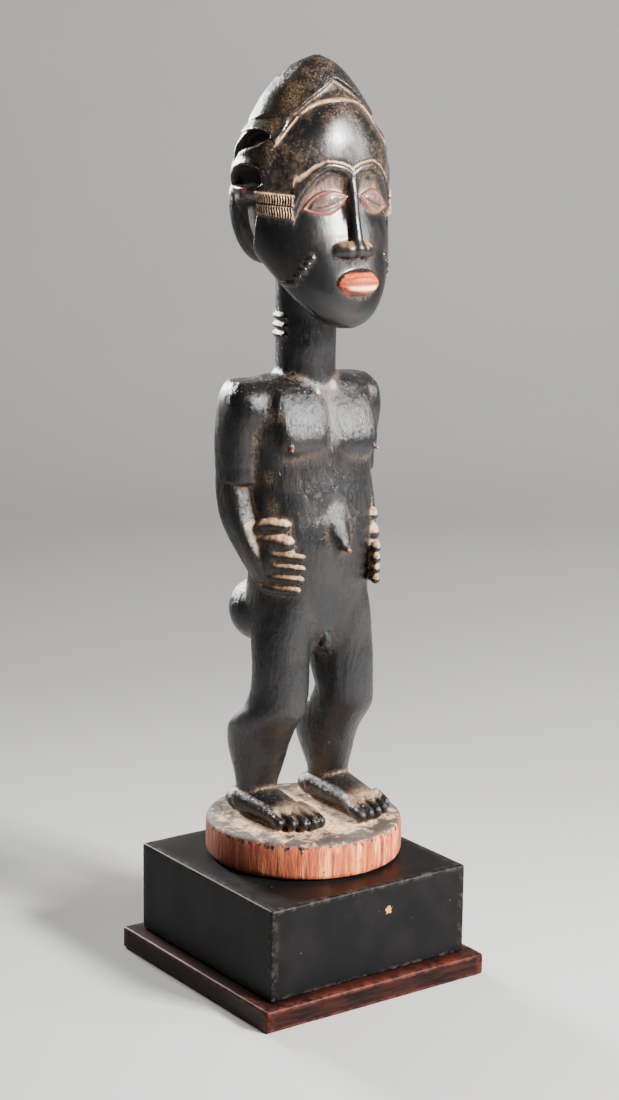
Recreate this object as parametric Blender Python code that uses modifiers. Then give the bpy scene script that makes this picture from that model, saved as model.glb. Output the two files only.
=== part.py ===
"""A standing carved wooden male figure, one with its round base, on a square block and a thin board.

The carving is laid out in millimetres on a figure 400 mm tall, measured from the top of its round
base, and follows STATURE. It faces -Y, and its own left is +X.
"""
import math

import bmesh
import bpy
import numpy as np
from mathutils import Matrix, Vector

MM = 0.001

# Round base, carved with the figure from one piece of wood; it stands a little off the block's centre.
BASE_RADIUS = 53.0
BASE_HEIGHT = 20.7
BASE_EDGE = 1.6
FEET_SUNK = 0.5
BASE_LEFT = 5.5
BASE_BACK = 6.5

# Figure, a little off the centre of its base
STATURE = 401.0
FIGURE_LEFT = 4.5
FIGURE_BACK = 3.0

# Plinth: a block around the base and a board around the block
BLOCK_MARGIN = 9.5
BLOCK_HEIGHT = 49.0
BLOCK_EDGE = 1.2
BOARD_MARGIN = 8.0
BOARD_HEIGHT = 12.0
BOARD_EDGE = 1.6
REST_GAP = 0.3
EDGE_STEPS = 3

# The height that the carving's own numbers below are drawn for
DRAWN_STATURE = 401.0

# Surface
ROUGH_VOXEL = 1.5
ROUGH_SMOOTHING = 9
FINE_VOXEL = 1.1
FINE_SMOOTHING = 1
FIGURE_TRIANGLES = 9300
LEVEL_STEP = 2.0
HEAD_STEP = 0.9
HEAD_SIDES = 280
BASE_SIDES = 96
ROD_SIDES = 16

# How square the level sections are, 2 being an oval
TRUNK_POWER = 2.5
CHEST_POWER = 3.0
FOREARM_POWER = 3.4
LEG_POWER = 2.1
HAIR_POWER = 2.2
HEAD_POWER = 2.1

# How far the axis that the head's relief turns about lies behind the figure's own
HEAD_AXIS = 2.0

# Colours
BLACK_WOOD = (0.022, 0.021, 0.021, 1.0)
BLOCK_BLACK = (0.018, 0.018, 0.019, 1.0)
BOARD_BROWN = (0.060, 0.022, 0.014, 1.0)


def between(z, heights, values):
    """A smooth curve through the values that never overshoots them."""
    z, h, v = (np.asarray(a, float) for a in (z, heights, values))
    step = np.diff(h)
    slope = np.diff(v) / step
    tangent = np.zeros_like(v)
    same = slope[:-1] * slope[1:] > 0
    mean = 2 * slope[:-1] * slope[1:] / np.where(same, slope[:-1] + slope[1:], 1)
    tangent[1:-1] = np.where(same, mean, 0)
    tangent[0], tangent[-1] = slope[0], slope[-1]
    i = np.clip(np.searchsorted(h, z) - 1, 0, len(step) - 1)
    t = np.clip((z - h[i]) / step[i], 0, 1)
    a = (1 + 2 * t) * (1 - t) ** 2
    b = t * (1 - t) ** 2
    c = t * t * (3 - 2 * t)
    d = t * t * (t - 1)
    return a * v[i] + b * step[i] * tangent[i] + c * v[i + 1] + d * step[i] * tangent[i + 1]


def add_rings(form, rings):
    """Skins closed rings of equal length, one above the other, and caps both ends."""
    loops = [[form.verts.new(point) for point in ring] for ring in rings]
    sides = len(loops[0])
    for low, high in zip(loops[:-1], loops[1:]):
        for i in range(sides):
            j = (i + 1) % sides
            form.faces.new((low[i], low[j], high[j], high[i]))
    form.faces.new(loops[0][::-1])
    form.faces.new(loops[-1])


def ring(x, y, z, half_width, half_depth, power, sides=48):
    """One level section, an oval that a higher power makes squarer."""
    turn = np.linspace(0, 2 * math.pi, sides, endpoint=False)
    across, along = np.cos(turn), np.sin(turn)
    across = np.sign(across) * np.abs(across) ** (2 / power)
    along = np.sign(along) * np.abs(along) ** (2 / power)
    return [(x + half_width * u, y + half_depth * v, z) for u, v in zip(across, along)]


def column(form, stations, side=1, power=2.0):
    """A form whose level sections change smoothly: rows of height, x, front, back and half width."""
    table = np.array(stations, float)
    heights = table[:, 0]
    count = max(3, int((heights[-1] - heights[0]) / LEVEL_STEP) + 1)
    levels = np.linspace(heights[0], heights[-1], count)
    x, front, back, half = (between(levels, heights, table[:, k]) for k in (1, 2, 3, 4))
    middle, depth = (front + back) / 2, (back - front) / 2
    rows = zip(side * x, middle, levels, half, depth)
    add_rings(form, [ring(*row, power) for row in rows])


def ball(form, centre, radii):
    place = Matrix.Translation(centre) @ Matrix.Diagonal((*radii, 1))
    bmesh.ops.create_icosphere(form, subdivisions=4, radius=1, matrix=place)


def rod(form, points, radii, broad=1.0):
    """A round-ended bar through some points; broad widens its section level with the ground."""
    path = [Vector(p) for p in points]
    turns = [2 * math.pi * k / ROD_SIDES for k in range(ROD_SIDES)]
    first = [(-0.95, 0.3), (-0.75, 0.66), (-0.4, 0.92)]
    last = [(0.4, 0.92), (0.75, 0.66), (0.95, 0.3)]
    rings = []
    for i, point in enumerate(path):
        along = (path[min(i + 1, len(path) - 1)] - path[max(i - 1, 0)]).normalized()
        across = along.cross(Vector((0, 0, 1)))
        across = across.normalized() if across.length > 1e-6 else Vector((1, 0, 0))
        up = across.cross(along).normalized()
        spokes = [across * math.cos(a) * broad + up * math.sin(a) for a in turns]
        before = first if i == 0 else []
        after = last if i == len(path) - 1 else []
        for shift, scale in (*before, (0.0, 1.0), *after):
            centre = point + along * shift * radii[i]
            rings.append([centre + spoke * radii[i] * scale for spoke in spokes])
    add_rings(form, rings)


def mirrored(make, form):
    """Makes the same thing on both sides of the figure."""
    for side in (-1, 1):
        make(form, side)


# Rows are height, x, front, back and half width, from the lowest up.
HEAD = [
    (265.5, 0, -33.5, -24.0, 5.0),
    (268.5, 0, -37.0, -18.0, 12.5),
    (274.0, 0, -38.6, -12.0, 19.5),
    (283.0, 0, -39.0, -2.0, 26.5),
    (294.0, 0, -38.0, 12.0, 32.5),
    (305.0, 0, -36.6, 26.0, 37.0),
    (317.0, 0, -34.5, 34.0, 39.5),
    (332.0, 0, -33.6, 37.0, 40.3),
    (346.0, 0, -33.4, 37.5, 40.0),
    (357.0, 0, -32.4, 36.6, 37.6),
    (367.0, 0, -29.8, 33.5, 33.4),
    (377.0, 0, -25.4, 29.6, 27.6),
    (386.0, 0, -20.3, 24.2, 21.3),
    (393.0, 0, -15.2, 17.6, 15.0),
    (398.0, 0, -9.6, 9.2, 8.5),
    (401.0, 0, -3.4, 1.2, 1.6),
]
BACK_HAIR = [
    (293.5, 0, 18.0, 28.0, 13.0),
    (296.0, 0, 14.5, 33.0, 20.2),
    (303.0, 0, 12.5, 37.0, 26.9),
    (312.0, 0, 11.5, 39.5, 31.0),
    (322.0, 0, 10.0, 40.5, 33.4),
    (329.0, 0, 6.0, 40.5, 34.6),
    (333.0, 0, 1.0, 40.0, 35.4),
    (336.5, 0, -3.0, 38.0, 35.4),
]
NECK = [
    (222.0, 0, -11.5, 22.5, 16.4),
    (240.0, 0, -10.3, 22.2, 15.8),
    (262.0, 0, -10.6, 22.2, 15.8),
    (300.0, 0, -16.0, 22.0, 17.5),
]
TRUNK = [
    (90.0, 0, -10.0, 18.0, 24.0),
    (102.0, 0, -16.5, 23.0, 32.5),
    (116.0, 0, -20.5, 26.0, 34.0),
    (128.0, 0, -23.5, 27.0, 32.6),
    (138.0, 0, -25.2, 27.0, 32.4),
    (152.0, 0, -26.0, 27.5, 33.6),
    (172.0, 0, -23.5, 29.0, 34.6),
    (190.0, 0, -21.4, 30.5, 35.4),
    (203.0, 0, -20.6, 31.0, 37.0),
    (213.0, 0, -18.0, 30.6, 38.8),
    (222.0, 0, -15.0, 30.0, 39.5),
    (229.5, 0, -12.2, 27.5, 38.5),
    (235.0, 0, -8.5, 24.5, 34.0),
    (238.0, 0, -3.0, 20.0, 24.0),
]
# Heights here count from the nipple.
BREAST = [
    (-7.0, 15.0, -15.0, 0.0, 11.0),
    (-3.5, 15.2, -19.4, 0.0, 14.0),
    (0.0, 15.4, -21.8, 0.0, 15.8),
    (4.0, 15.4, -22.0, 0.0, 16.2),
    (11.0, 15.2, -20.6, 0.0, 16.4),
    (19.0, 15.0, -17.8, 0.0, 16.2),
    (27.0, 14.6, -13.4, 0.0, 15.0),
    (32.0, 14.4, -8.0, 1.0, 12.0),
]
UPPER_ARM = [
    (181.5, 35.4, 6.0, 24.0, 8.2),
    (184.5, 35.4, 1.4, 27.2, 10.8),
    (190.0, 35.6, 0.4, 28.0, 11.4),
    (206.0, 35.4, -2.5, 28.5, 12.2),
    (221.0, 34.0, -6.5, 28.0, 13.0),
    (230.0, 32.4, -5.0, 26.2, 13.4),
    (236.0, 30.4, 3.0, 23.0, 11.4),
]
ARM_END = [
    (181.8, 35.4, 3.0, 24.5, 9.8),
    (183.4, 35.4, 0.6, 26.8, 11.2),
    (190.0, 35.4, 0.0, 27.6, 11.4),
    (203.0, 35.4, 1.5, 26.5, 10.2),
]
FOREARM = [
    (129.0, 28.5, -6.0, 4.0, 3.5),
    (136.0, 31.4, -8.5, 7.5, 5.2),
    (144.0, 33.2, -7.5, 11.5, 7.2),
    (155.0, 34.8, -3.6, 18.0, 9.2),
    (166.0, 35.6, 0.6, 22.8, 10.6),
    (178.0, 35.6, 3.6, 25.4, 10.9),
    (186.0, 35.6, 6.0, 26.0, 10.4),
]
LEG = [
    (6.0, 23.8, 2.0, 26.0, 10.5),
    (15.0, 23.8, 2.5, 26.0, 10.7),
    (23.0, 23.2, 0.0, 29.0, 11.9),
    (30.0, 22.8, -2.5, 32.6, 13.2),
    (38.0, 22.5, -5.0, 35.0, 14.4),
    (45.0, 22.6, -8.5, 34.4, 15.2),
    (51.0, 23.2, -12.5, 29.5, 15.6),
    (57.0, 23.0, -17.0, 22.5, 15.6),
    (63.0, 22.2, -19.4, 16.5, 15.0),
    (72.0, 21.2, -20.2, 13.2, 14.6),
    (84.0, 21.0, -19.8, 12.0, 14.8),
    (97.0, 20.2, -19.2, 14.0, 15.2),
    (112.0, 18.4, -20.4, 16.0, 15.0),
    (124.0, 16.6, -20.6, 16.0, 13.5),
    (132.0, 15.0, -17.0, 10.0, 9.0),
]


def soft_step(value, start, end):
    """0 before start and 1 after end, with an eased rise between them."""
    t = np.clip((value - start) / (end - start), 0, 1)
    return t * t * (3 - 2 * t)


def window(value, start, end, soft):
    """1 between start and end, eased to 0 over a soft margin outside them."""
    return soft_step(value, start - soft, start + soft) * (1 - soft_step(value, end - soft, end + soft))


# Rim of the hair dome: degrees from the front, and height
DOME_TURNS = (0, 6, 22, 40, 50, 58, 74, 93, 104, 125, 180)
DOME_HEIGHTS = (389.5, 388.4, 384.2, 378.8, 374.2, 371.0, 371.4, 370.2, 368.4, 368, 367)
DOME_STEP = 2.8

# Strip below the dome that ends in a pointed flap
FLAP_TURNS = (59, 64.7, 71.4, 78.8, 100, 125, 180)
FLAP_LOWS = (367, 357.6, 361.8, 363.7, 363.4, 361, 360)
FLAP_RAISED = 1.5

# Ledges of hair behind the temple: lowest and highest level, swell at the back and at the side
HAIR_LEDGES = ((349.5, 368.5, 2.2, 2.4), (331.5, 350.5, 2.4, 2.2))

# Hollows in the hair: depth, degrees from the front, then heights of the lower and the upper edge
HAIR_HOLLOWS = (
    (
        6.0,
        (70, 80, 92, 103, 110, 116, 121),
        (360.5, 356.4, 355, 352.5, 348.5, 344.5, 343),
        (362, 363.4, 363.8, 362.6, 359.5, 354, 348),
    ),
    (
        6.0,
        (73, 76, 84, 95, 104, 112, 118),
        (337.5, 336.2, 336, 335.8, 335.6, 335.4, 335),
        (341, 345.2, 346.6, 346.4, 345, 341.5, 337),
    ),
    (
        5.0,
        (79, 84, 92, 103, 112, 119),
        (322, 311, 303, 299, 300, 305),
        (329.6, 329.8, 329.6, 328.6, 327.4, 325),
    ),
)

# Band on the temple: degrees from the front, then lower and upper edge there
TEMPLE_TURNS = (48.5, 78)
TEMPLE_LOWS = (320.6, 322.8)
TEMPLE_HIGHS = (332.6, 334.0)
TEMPLE_RAISED = 1.7

# Brow arch: distance from the middle of the face, and height of its lower edge
BROW_OUT = (0, 3, 7, 12.5, 18, 24, 27, 29.5)
BROW_HEIGHTS = (339, 342, 344.3, 345.3, 342.8, 336.2, 330.8, 323.5)
BROW_WIDTH = 3.2
BROW_RAISED = 1.1
SOCKET_DEPTH = 2.6
SOCKET_END = 29.5

# Eye: middle, how far both stand to the left, half length, half height, slant in degrees and bulge
EYE_OUT = 15.4
EYE_SIDE = 1.9
EYE_HEIGHT = 328.8
EYE_HALF_LENGTH = 11.2
EYE_HALF_HEIGHT = 5.6
EYE_SLANT = -17
EYE_BULGE = 2.4

# Welts on the cheek: distance out, height and radius
WELTS = ((23.2, 301.6, 1.7), (24.8, 298.6, 1.3), (26.6, 295.8, 1.6), (28.0, 292.4, 1.1), (29.0, 288.4, 1.4))
WELT_RAISED = 0.8


def dome_relief(turn, z):
    """The step under the rim of the hair dome, the strip below it and the hairline's thin ridge."""
    rim = np.interp(turn, DOME_TURNS, DOME_HEIGHTS)
    step = -DOME_STEP * soft_step(z, rim + 0.5, rim - 0.4) * soft_step(z, rim - 17, rim - 3)
    low = np.interp(turn, FLAP_TURNS, FLAP_LOWS)
    inside = np.minimum(z - low, rim - z) * soft_step(turn, 58, 61)
    return step + FLAP_RAISED * soft_step(inside, 0.0, 0.9)


def pocket(turn, z, turns, lows, highs):
    """1 inside a crescent given by its lower and upper edge, easing to 0 at its border."""
    low = np.interp(turn, turns, lows)
    high = np.interp(turn, turns, highs)
    inside = np.minimum(z - low, high - z)
    sides = window(turn, turns[0], turns[-1], 1.2)
    return soft_step(inside, -0.3, 0.9) * sides


def temple_band(turn, z):
    """1 on the band across the temple, easing to 0 at its border."""
    low = np.interp(turn, TEMPLE_TURNS, TEMPLE_LOWS)
    high = np.interp(turn, TEMPLE_TURNS, TEMPLE_HIGHS)
    return window(turn, *TEMPLE_TURNS, 0.6) * window(z, low, high, 0.35)


def lobe_relief(turn, z):
    """Ledges of hair that swell behind the temple, with a hollow under each."""
    behind = soft_step(turn, 100, 107)
    beside = soft_step(turn, 62, 72) * (1 - behind)
    total = np.zeros_like(z)
    for low, high, at_back, at_side in HAIR_LEDGES:
        share = np.clip((z - low) / (high - low), 0, 1)
        total = total + (at_back * behind + at_side * beside) * np.sin(math.pi * share) ** 0.6
    for depth, turns, lows, highs in HAIR_HOLLOWS:
        total = total - depth * pocket(turn, z, turns, lows, highs)
    block = window(turn, 77.5, 101, 1.0) * window(z, 331.2, 335.6, 0.5)
    return total + 1.2 * block


def brow_line(x):
    """Height of the brow arch's lower edge across the face."""
    return between(x, BROW_OUT, BROW_HEIGHTS)


def below_brow(x, z):
    """How far a point lies below the lower edge of the brow arch."""
    slope = (brow_line(x + 0.2) - brow_line(x - 0.2)) / 0.4
    return (brow_line(x) - z) / np.sqrt(1 + slope**2)


def eye_place(x, z):
    """Distance along the eye and across it from its middle; x is signed."""
    slant = math.radians(EYE_SLANT)
    dx, dz = np.abs(x - EYE_SIDE) - EYE_OUT, z - EYE_HEIGHT
    return dx * math.cos(slant) + dz * math.sin(slant), dz * math.cos(slant) - dx * math.sin(slant)


def eye_shares(x, z):
    """Position in the eye: share of its half length, and depth inside its edge in half heights."""
    along, across = eye_place(x, z)
    along, across = along / EYE_HALF_LENGTH, across / EYE_HALF_HEIGHT
    return along, 1 - along**2 - np.abs(across)


def eye_relief(x, z):
    """An almond that slants down outwards."""
    along, depth = eye_shares(x, z)
    return EYE_BULGE * soft_step(depth, 0.0, 0.32) * np.sqrt(np.clip(1 - along**2, 0, 1))


def welt_relief(x, z):
    total = np.zeros_like(z)
    for out, height, radius in WELTS:
        share = np.clip(1 - ((x - out) ** 2 + (z - height) ** 2) / radius**2, 0, 1)
        total = total + WELT_RAISED * np.sqrt(share)
    return total


def socket_relief(x, z):
    """Brow arches over hollowed sockets with the eyes in them."""
    out = np.abs(x)
    below = below_brow(out, z)
    on_face = 1 - soft_step(out, SOCKET_END - 0.6, SOCKET_END + 0.6)
    beside_nose = soft_step(out, 0.5, 6.5)
    fading = 1 - soft_step(z, 326, 312) ** 0.7
    hollow = SOCKET_DEPTH * beside_nose * soft_step(below, 0.0, 1.6) * fading
    brow = BROW_RAISED * window(below, -BROW_WIDTH, 0.1, 0.7)
    return on_face * (brow - hollow) + eye_relief(x, z)


def head_rings():
    """The head and dome of hair as rings with their relief."""
    table = np.array(HEAD)
    heights = table[:, 0]
    levels = np.arange(heights[0], heights[-1] + HEAD_STEP / 2, HEAD_STEP)
    front, back, half = (between(levels, heights, table[:, k]) for k in (2, 3, 4))
    middle, depth = (front + back) / 2, (back - front) / 2
    rings = []
    for i, z in enumerate(levels):
        flat = np.array(ring(0, middle[i], z, half[i], depth[i], HEAD_POWER, HEAD_SIDES))
        x, y = flat[:, 0], flat[:, 1] - HEAD_AXIS
        reach = np.hypot(x, y)
        turn = np.degrees(np.arctan2(np.abs(x), -y))
        height = np.full(HEAD_SIDES, z)
        out = dome_relief(turn, height) + lobe_relief(turn, height)
        out = out + TEMPLE_RAISED * temple_band(turn, height)
        face = socket_relief(x, height) + welt_relief(np.abs(x), height)
        out = out + np.where(y < 0, face, 0)
        grow = 1 + out * np.clip(reach / 12.0, 0, 1) / np.maximum(reach, 1e-6)
        rings.append([(px * g, HEAD_AXIS + py * g, z) for px, py, g in zip(x, y, grow)])
    return rings


def base_disc(form):
    """The round base with its edges eased, in the carving's drawn scale."""
    shrink = DRAWN_STATURE / STATURE
    x, y = -FIGURE_LEFT * shrink, -FIGURE_BACK * shrink
    top = FEET_SUNK
    levels = (
        (top - BASE_HEIGHT, BASE_RADIUS - BASE_EDGE),
        (top - BASE_HEIGHT + BASE_EDGE, BASE_RADIUS),
        (top - BASE_EDGE, BASE_RADIUS),
        (top, BASE_RADIUS - BASE_EDGE),
    )
    rings = [ring(x, y, z * shrink, r * shrink, r * shrink, 2, BASE_SIDES) for z, r in levels]
    add_rings(form, rings)


def buttock(form, side):
    ball(form, (side * 18.2, 18.4, 111.0), (17.0, 19.5, 17.6))


# Height of the nipple, by side
NIPPLE_HEIGHTS = {-1: 203.0, 1: 200.0}
NIPPLE_OUT = 27.4


def breast(form, side):
    """A broad plane that slopes down from the shoulder to the nipple, and turns in below it."""
    rows = [(NIPPLE_HEIGHTS[side] + row[0], *row[1:]) for row in BREAST]
    column(form, rows, side, CHEST_POWER)


def nipple(form, side):
    z = NIPPLE_HEIGHTS[side]
    rod(form, [(side * 25.6, -17.6, z + 1.6), (side * NIPPLE_OUT, -22.0, z)], (2.8, 0.8))


def belly_swell(form):
    """The soft swelling that carries the navel."""
    rod(form, [(0, -15.0, 166.0), (0.4, -21.6, 158.6), (0.7, -26.8, 153.8)], (11.0, 8.2, 5.2))


def navel(form):
    rod(form, [(0.5, -26.4, 155.6), (0.7, -30.6, 151.8), (0.8, -34.4, 149.6)], (4.8, 3.0, 1.2))


def thick_thigh(form):
    """The figure's left thigh is carved thicker towards the middle."""
    rod(form, [(13.6, 0.5, 116.0), (13.6, 2.5, 92.0), (18.0, 0.0, 68.0)], (12.6, 12.4, 11.0))


def member(form):
    rod(form, [(0, -12.0, 110.0), (0, -15.5, 97.0)], (4.6, 3.8))


# Fingers: height of the first, step down to the next, and how far out and forward each tip lies
FINGER_TOP = 147.4
FINGER_STEP = 5.9
FINGER_TIPS = ((24.0, -26.8), (24.0, -26.8), (24.4, -26.0), (25.4, -24.6))
FINGER_RADII = (3.1, 3.0, 2.8, 2.3)


def hand(form, side):
    """A flat hand laid on the side of the belly, thumb up, four fingers pointing forward."""
    ball(form, (side * 31.0, -6.0, 146.0), (5.6, 9.0, 13.5))
    palm = [(side * 32.6, -3.0, 154.6), (side * 29.6, -14.0, 154.6), (side * 27.6, -18.6, 153.6)]
    rod(form, palm, (4.6, 4.3, 3.6))
    thumb = [(side * 33.4, -5.5, 161.8), (side * 31.4, -12.0, 163.4), (side * 28.4, -17.4, 163.0)]
    rod(form, thumb, (3.6, 3.2, 2.7))
    for i, (out, front) in enumerate(FINGER_TIPS):
        z = FINGER_TOP - FINGER_STEP * i
        knuckle, middle = (side * 31.8, -5.0, z), (side * 30.8, -14.0, z)
        finger = [knuckle, middle, (side * 27.8, -20.6, z), (side * out, front, z)]
        rod(form, finger, FINGER_RADII)


# Toes by side: middle of the foot, spread, and how far forward each toe reaches, from the big one out
TOES = {
    -1: (24.2, 5.2, (34.4, 35.4, 34.0, 30.8, 26.0)),
    1: (21.4, 6.1, (39.6, 39.0, 37.4, 34.6, 28.6)),
}
TOE_WIDTHS = (0.78, 0.70, 0.68, 0.66, 0.66)
TOE_RADII = (3.9, 3.8, 3.7)


def foot(form, side):
    """A broad wedge with five toes."""
    middle, spread, reaches = TOES[side]
    ball(form, (side * 24.0, 23.5, 4.6), (10.8, 13.0, 6.8))
    longest = max(reaches)
    front = (side * (middle + 0.4), 20.0 - longest, 5.4)
    rod(form, [(side * 24.0, 16.0, 7.5), front], (10.0, 8.0), 1.36)
    for i, reach in enumerate(reaches):
        root = side * (middle + 0.80 * spread * (i - 2))
        x = side * (middle + spread * (i - 2))
        toe = [(root, 19.0 - longest, 8.4), (x, 10.0 - reach, 6.4), (x, 3.4 - reach, 4.6)]
        rod(form, toe, TOE_RADII, TOE_WIDTHS[i])


def nose(form):
    bridge = [(0, -30.4, 345.0), (0, -33.6, 334.0), (0, -35.4, 322.0), (0, -37.6, 310.0), (0, -38.8, 305.8)]
    rod(form, bridge, (3.4, 2.6, 2.6, 3.4, 4.3))
    for side in (-1, 1):
        rod(form, [(side * 4.6, -36.9, 305.4), (side * 9.2, -34.4, 304.9)], (4.5, 3.9))


MOUTH_SIDE = 1.2


def mouth(form):
    """Two full lips pushed forward."""
    ball(form, (MOUTH_SIDE, -34.0, 288.6), (13.8, 8.2, 8.2))
    shares = np.linspace(-1, 1, 15)
    for z, thick, drop in ((290.6, 1.9, 1.4), (286.2, 2.4, -2.0)):
        points = [(MOUTH_SIDE + 11.8 * u, 4.6 * u * u - 42.6, z - drop * u * u) for u in shares]
        rod(form, points, [thick * (1 - 0.62 * abs(u) ** 1.6) for u in shares])


def ear(form, side):
    ball(form, (side * 39.5, 6.0, 332.0), (2.6, 3.4, 3.4))


def nape_ridges(form):
    """Three thin welts around the back of the neck."""
    turns = np.radians(np.linspace(-12, 192, 17))
    for z in (259.0, 263.7, 268.4):
        points = [(16.0 * math.cos(a), 5.8 + 16.4 * math.sin(a), z) for a in turns]
        rod(form, points, [1.4] * len(points))


def limbs(form, side):
    column(form, UPPER_ARM, side, TRUNK_POWER)
    column(form, LEG, side, LEG_POWER)


def forearm(form, side):
    """The forearm's flat faces, and the upper arm's crisp end over it."""
    column(form, FOREARM, side, FOREARM_POWER)
    column(form, ARM_END, side, TRUNK_POWER)


def build_big_forms(form):
    base_disc(form)
    column(form, TRUNK, power=TRUNK_POWER)
    column(form, NECK)
    mirrored(limbs, form)
    mirrored(buttock, form)
    mirrored(breast, form)
    belly_swell(form)
    thick_thigh(form)


def build_fine_forms(form):
    add_rings(form, head_rings())
    column(form, BACK_HAIR, power=HAIR_POWER)
    navel(form)
    member(form)
    mirrored(nipple, form)
    mirrored(forearm, form)
    mirrored(hand, form)
    mirrored(foot, form)
    nose(form)
    mouth(form)
    mirrored(ear, form)
    nape_ridges(form)


def link(name, form, collection):
    mesh = bpy.data.meshes.new(name)
    form.to_mesh(mesh)
    form.free()
    piece = bpy.data.objects.new(name, mesh)
    collection.objects.link(piece)
    return piece


def bake(piece):
    """Replaces the mesh by what its modifiers make of it."""
    done = bpy.data.meshes.new_from_object(
        piece.evaluated_get(bpy.context.evaluated_depsgraph_get())
    )
    piece.modifiers.clear()
    piece.data = done


def remesh(piece, voxel, smoothing):
    """Makes one closed skin of everything in the piece and eases it."""
    change = piece.modifiers.new("One skin", "REMESH")
    change.mode = "VOXEL"
    change.voxel_size = voxel
    ease = piece.modifiers.new("Eased", "SMOOTH")
    ease.iterations = smoothing
    bpy.context.view_layer.update()
    bake(piece)


def make_figure(bottom, collection, material):
    """The carved man and his base, bottom being where the base's underside rests."""
    form = bmesh.new()
    build_big_forms(form)
    figure = link("figure", form, collection)
    remesh(figure, ROUGH_VOXEL, ROUGH_SMOOTHING)
    form = bmesh.new()
    form.from_mesh(figure.data)
    build_fine_forms(form)
    form.to_mesh(figure.data)
    form.free()
    remesh(figure, FINE_VOXEL, FINE_SMOOTHING)
    thin = figure.modifiers.new("Fewer faces", "DECIMATE")
    thin.ratio = FIGURE_TRIANGLES / (2 * len(figure.data.polygons))
    bpy.context.view_layer.update()
    bake(figure)
    sole = bottom + BASE_HEIGHT - FEET_SUNK
    feet = Vector((BASE_LEFT + FIGURE_LEFT, BASE_BACK + FIGURE_BACK, sole))
    scale = Matrix.Scale(MM * STATURE / DRAWN_STATURE, 4)
    figure.data.transform(Matrix.Translation(feet * MM) @ scale)
    figure.data.materials.clear()
    figure.data.materials.append(material)
    figure.data.shade_smooth()


def slab(name, side, height, bottom, edge, collection, material):
    """A square slab with eased edges, its underside at bottom."""
    size = Matrix.Diagonal((side * MM, side * MM, height * MM, 1))
    form = bmesh.new()
    bmesh.ops.create_cube(form, size=1.0, matrix=size)
    piece = link(name, form, collection)
    piece.location = (0, 0, (bottom + height / 2) * MM)
    bevel = piece.modifiers.new("Eased edges", "BEVEL")
    bevel.width = edge * MM
    bevel.segments = EDGE_STEPS
    piece.data.materials.append(material)


def finish(name, colour, roughness):
    material = bpy.data.materials.new(name)
    material.use_nodes = True
    shader = material.node_tree.nodes["Principled BSDF"]
    shader.inputs["Base Color"].default_value = colour
    shader.inputs["Roughness"].default_value = roughness
    shader.inputs["Metallic"].default_value = 0.0
    return material


def main():
    for item in list(bpy.data.objects):
        bpy.data.objects.remove(item, do_unlink=True)
    parts = bpy.data.collections.new("male_figure")
    bpy.context.scene.collection.children.link(parts)
    block_side = 2 * (BASE_RADIUS + BLOCK_MARGIN)
    board_side = block_side + 2 * BOARD_MARGIN
    block_bottom = BOARD_HEIGHT + REST_GAP
    figure_bottom = block_bottom + BLOCK_HEIGHT + REST_GAP
    brown = finish("board_wood", BOARD_BROWN, 0.6)
    black = finish("block_paint", BLOCK_BLACK, 0.5)
    slab("plinth_board", board_side, BOARD_HEIGHT, 0, BOARD_EDGE, parts, brown)
    slab("plinth_block", block_side, BLOCK_HEIGHT, block_bottom, BLOCK_EDGE, parts, black)
    make_figure(figure_bottom, parts, finish("carved_wood", BLACK_WOOD, 0.4))


main()
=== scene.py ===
"""Looks of the standing carved wooden male figure on its round base, block and board."""

import math

import bmesh
import bpy
import numpy as np
from mathutils import Matrix, Vector


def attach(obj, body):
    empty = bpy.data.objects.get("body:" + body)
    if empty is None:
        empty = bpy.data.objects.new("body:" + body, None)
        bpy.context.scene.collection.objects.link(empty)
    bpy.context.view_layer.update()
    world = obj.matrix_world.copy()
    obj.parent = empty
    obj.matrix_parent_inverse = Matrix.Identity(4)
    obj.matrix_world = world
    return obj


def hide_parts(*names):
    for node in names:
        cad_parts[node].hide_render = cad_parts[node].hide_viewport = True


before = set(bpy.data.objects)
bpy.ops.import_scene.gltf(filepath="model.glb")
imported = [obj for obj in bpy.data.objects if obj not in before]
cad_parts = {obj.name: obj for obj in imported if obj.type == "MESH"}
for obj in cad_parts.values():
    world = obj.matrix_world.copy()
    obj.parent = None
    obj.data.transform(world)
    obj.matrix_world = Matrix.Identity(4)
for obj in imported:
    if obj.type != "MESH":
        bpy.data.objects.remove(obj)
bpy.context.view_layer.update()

MM = 0.001

# Sizes of the solids that the pieces here replace
BASE_RADIUS = 53.0
BASE_HEIGHT = 20.7
BASE_EDGE = 1.6
FEET_SUNK = 0.5
FIGURE_LEFT = 4.5
FIGURE_BACK = 3.0
FEET = (10.0, 9.5, 81.8)
BLOCK_SIDE = 125.0
BLOCK_HEIGHT = 49.0
BLOCK_BOTTOM = 12.3
BLOCK_EDGE = 1.2
BOARD_SIDE = 141.0
BOARD_HEIGHT = 12.0
BOARD_EDGE = 1.6

# Surface
ROUGH_VOXEL = 1.5
ROUGH_SMOOTHING = 9
FINE_VOXEL = 0.62
FINE_SMOOTHING = 1
FIGURE_TRIANGLES = 190000
LEVEL_STEP = 2.0
HEAD_STEP = 0.42
HEAD_SIDES = 620
BASE_SIDES = 160
ROD_SIDES = 24

# How square the level sections are, 2 being an oval
TRUNK_POWER = 2.5
CHEST_POWER = 3.0
FOREARM_POWER = 3.4
LEG_POWER = 2.1
HAIR_POWER = 2.2
HEAD_POWER = 2.1

# The upright axis that the head's relief turns about, behind the figure's own
HEAD_AXIS = 2.0
HEAD_REACH = 38.0

# Nearer the axis than this is not the head's skin, and forward of this depth is the face
HEAD_CORE = 20.0
FACE_FRONT = -12.0


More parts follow.
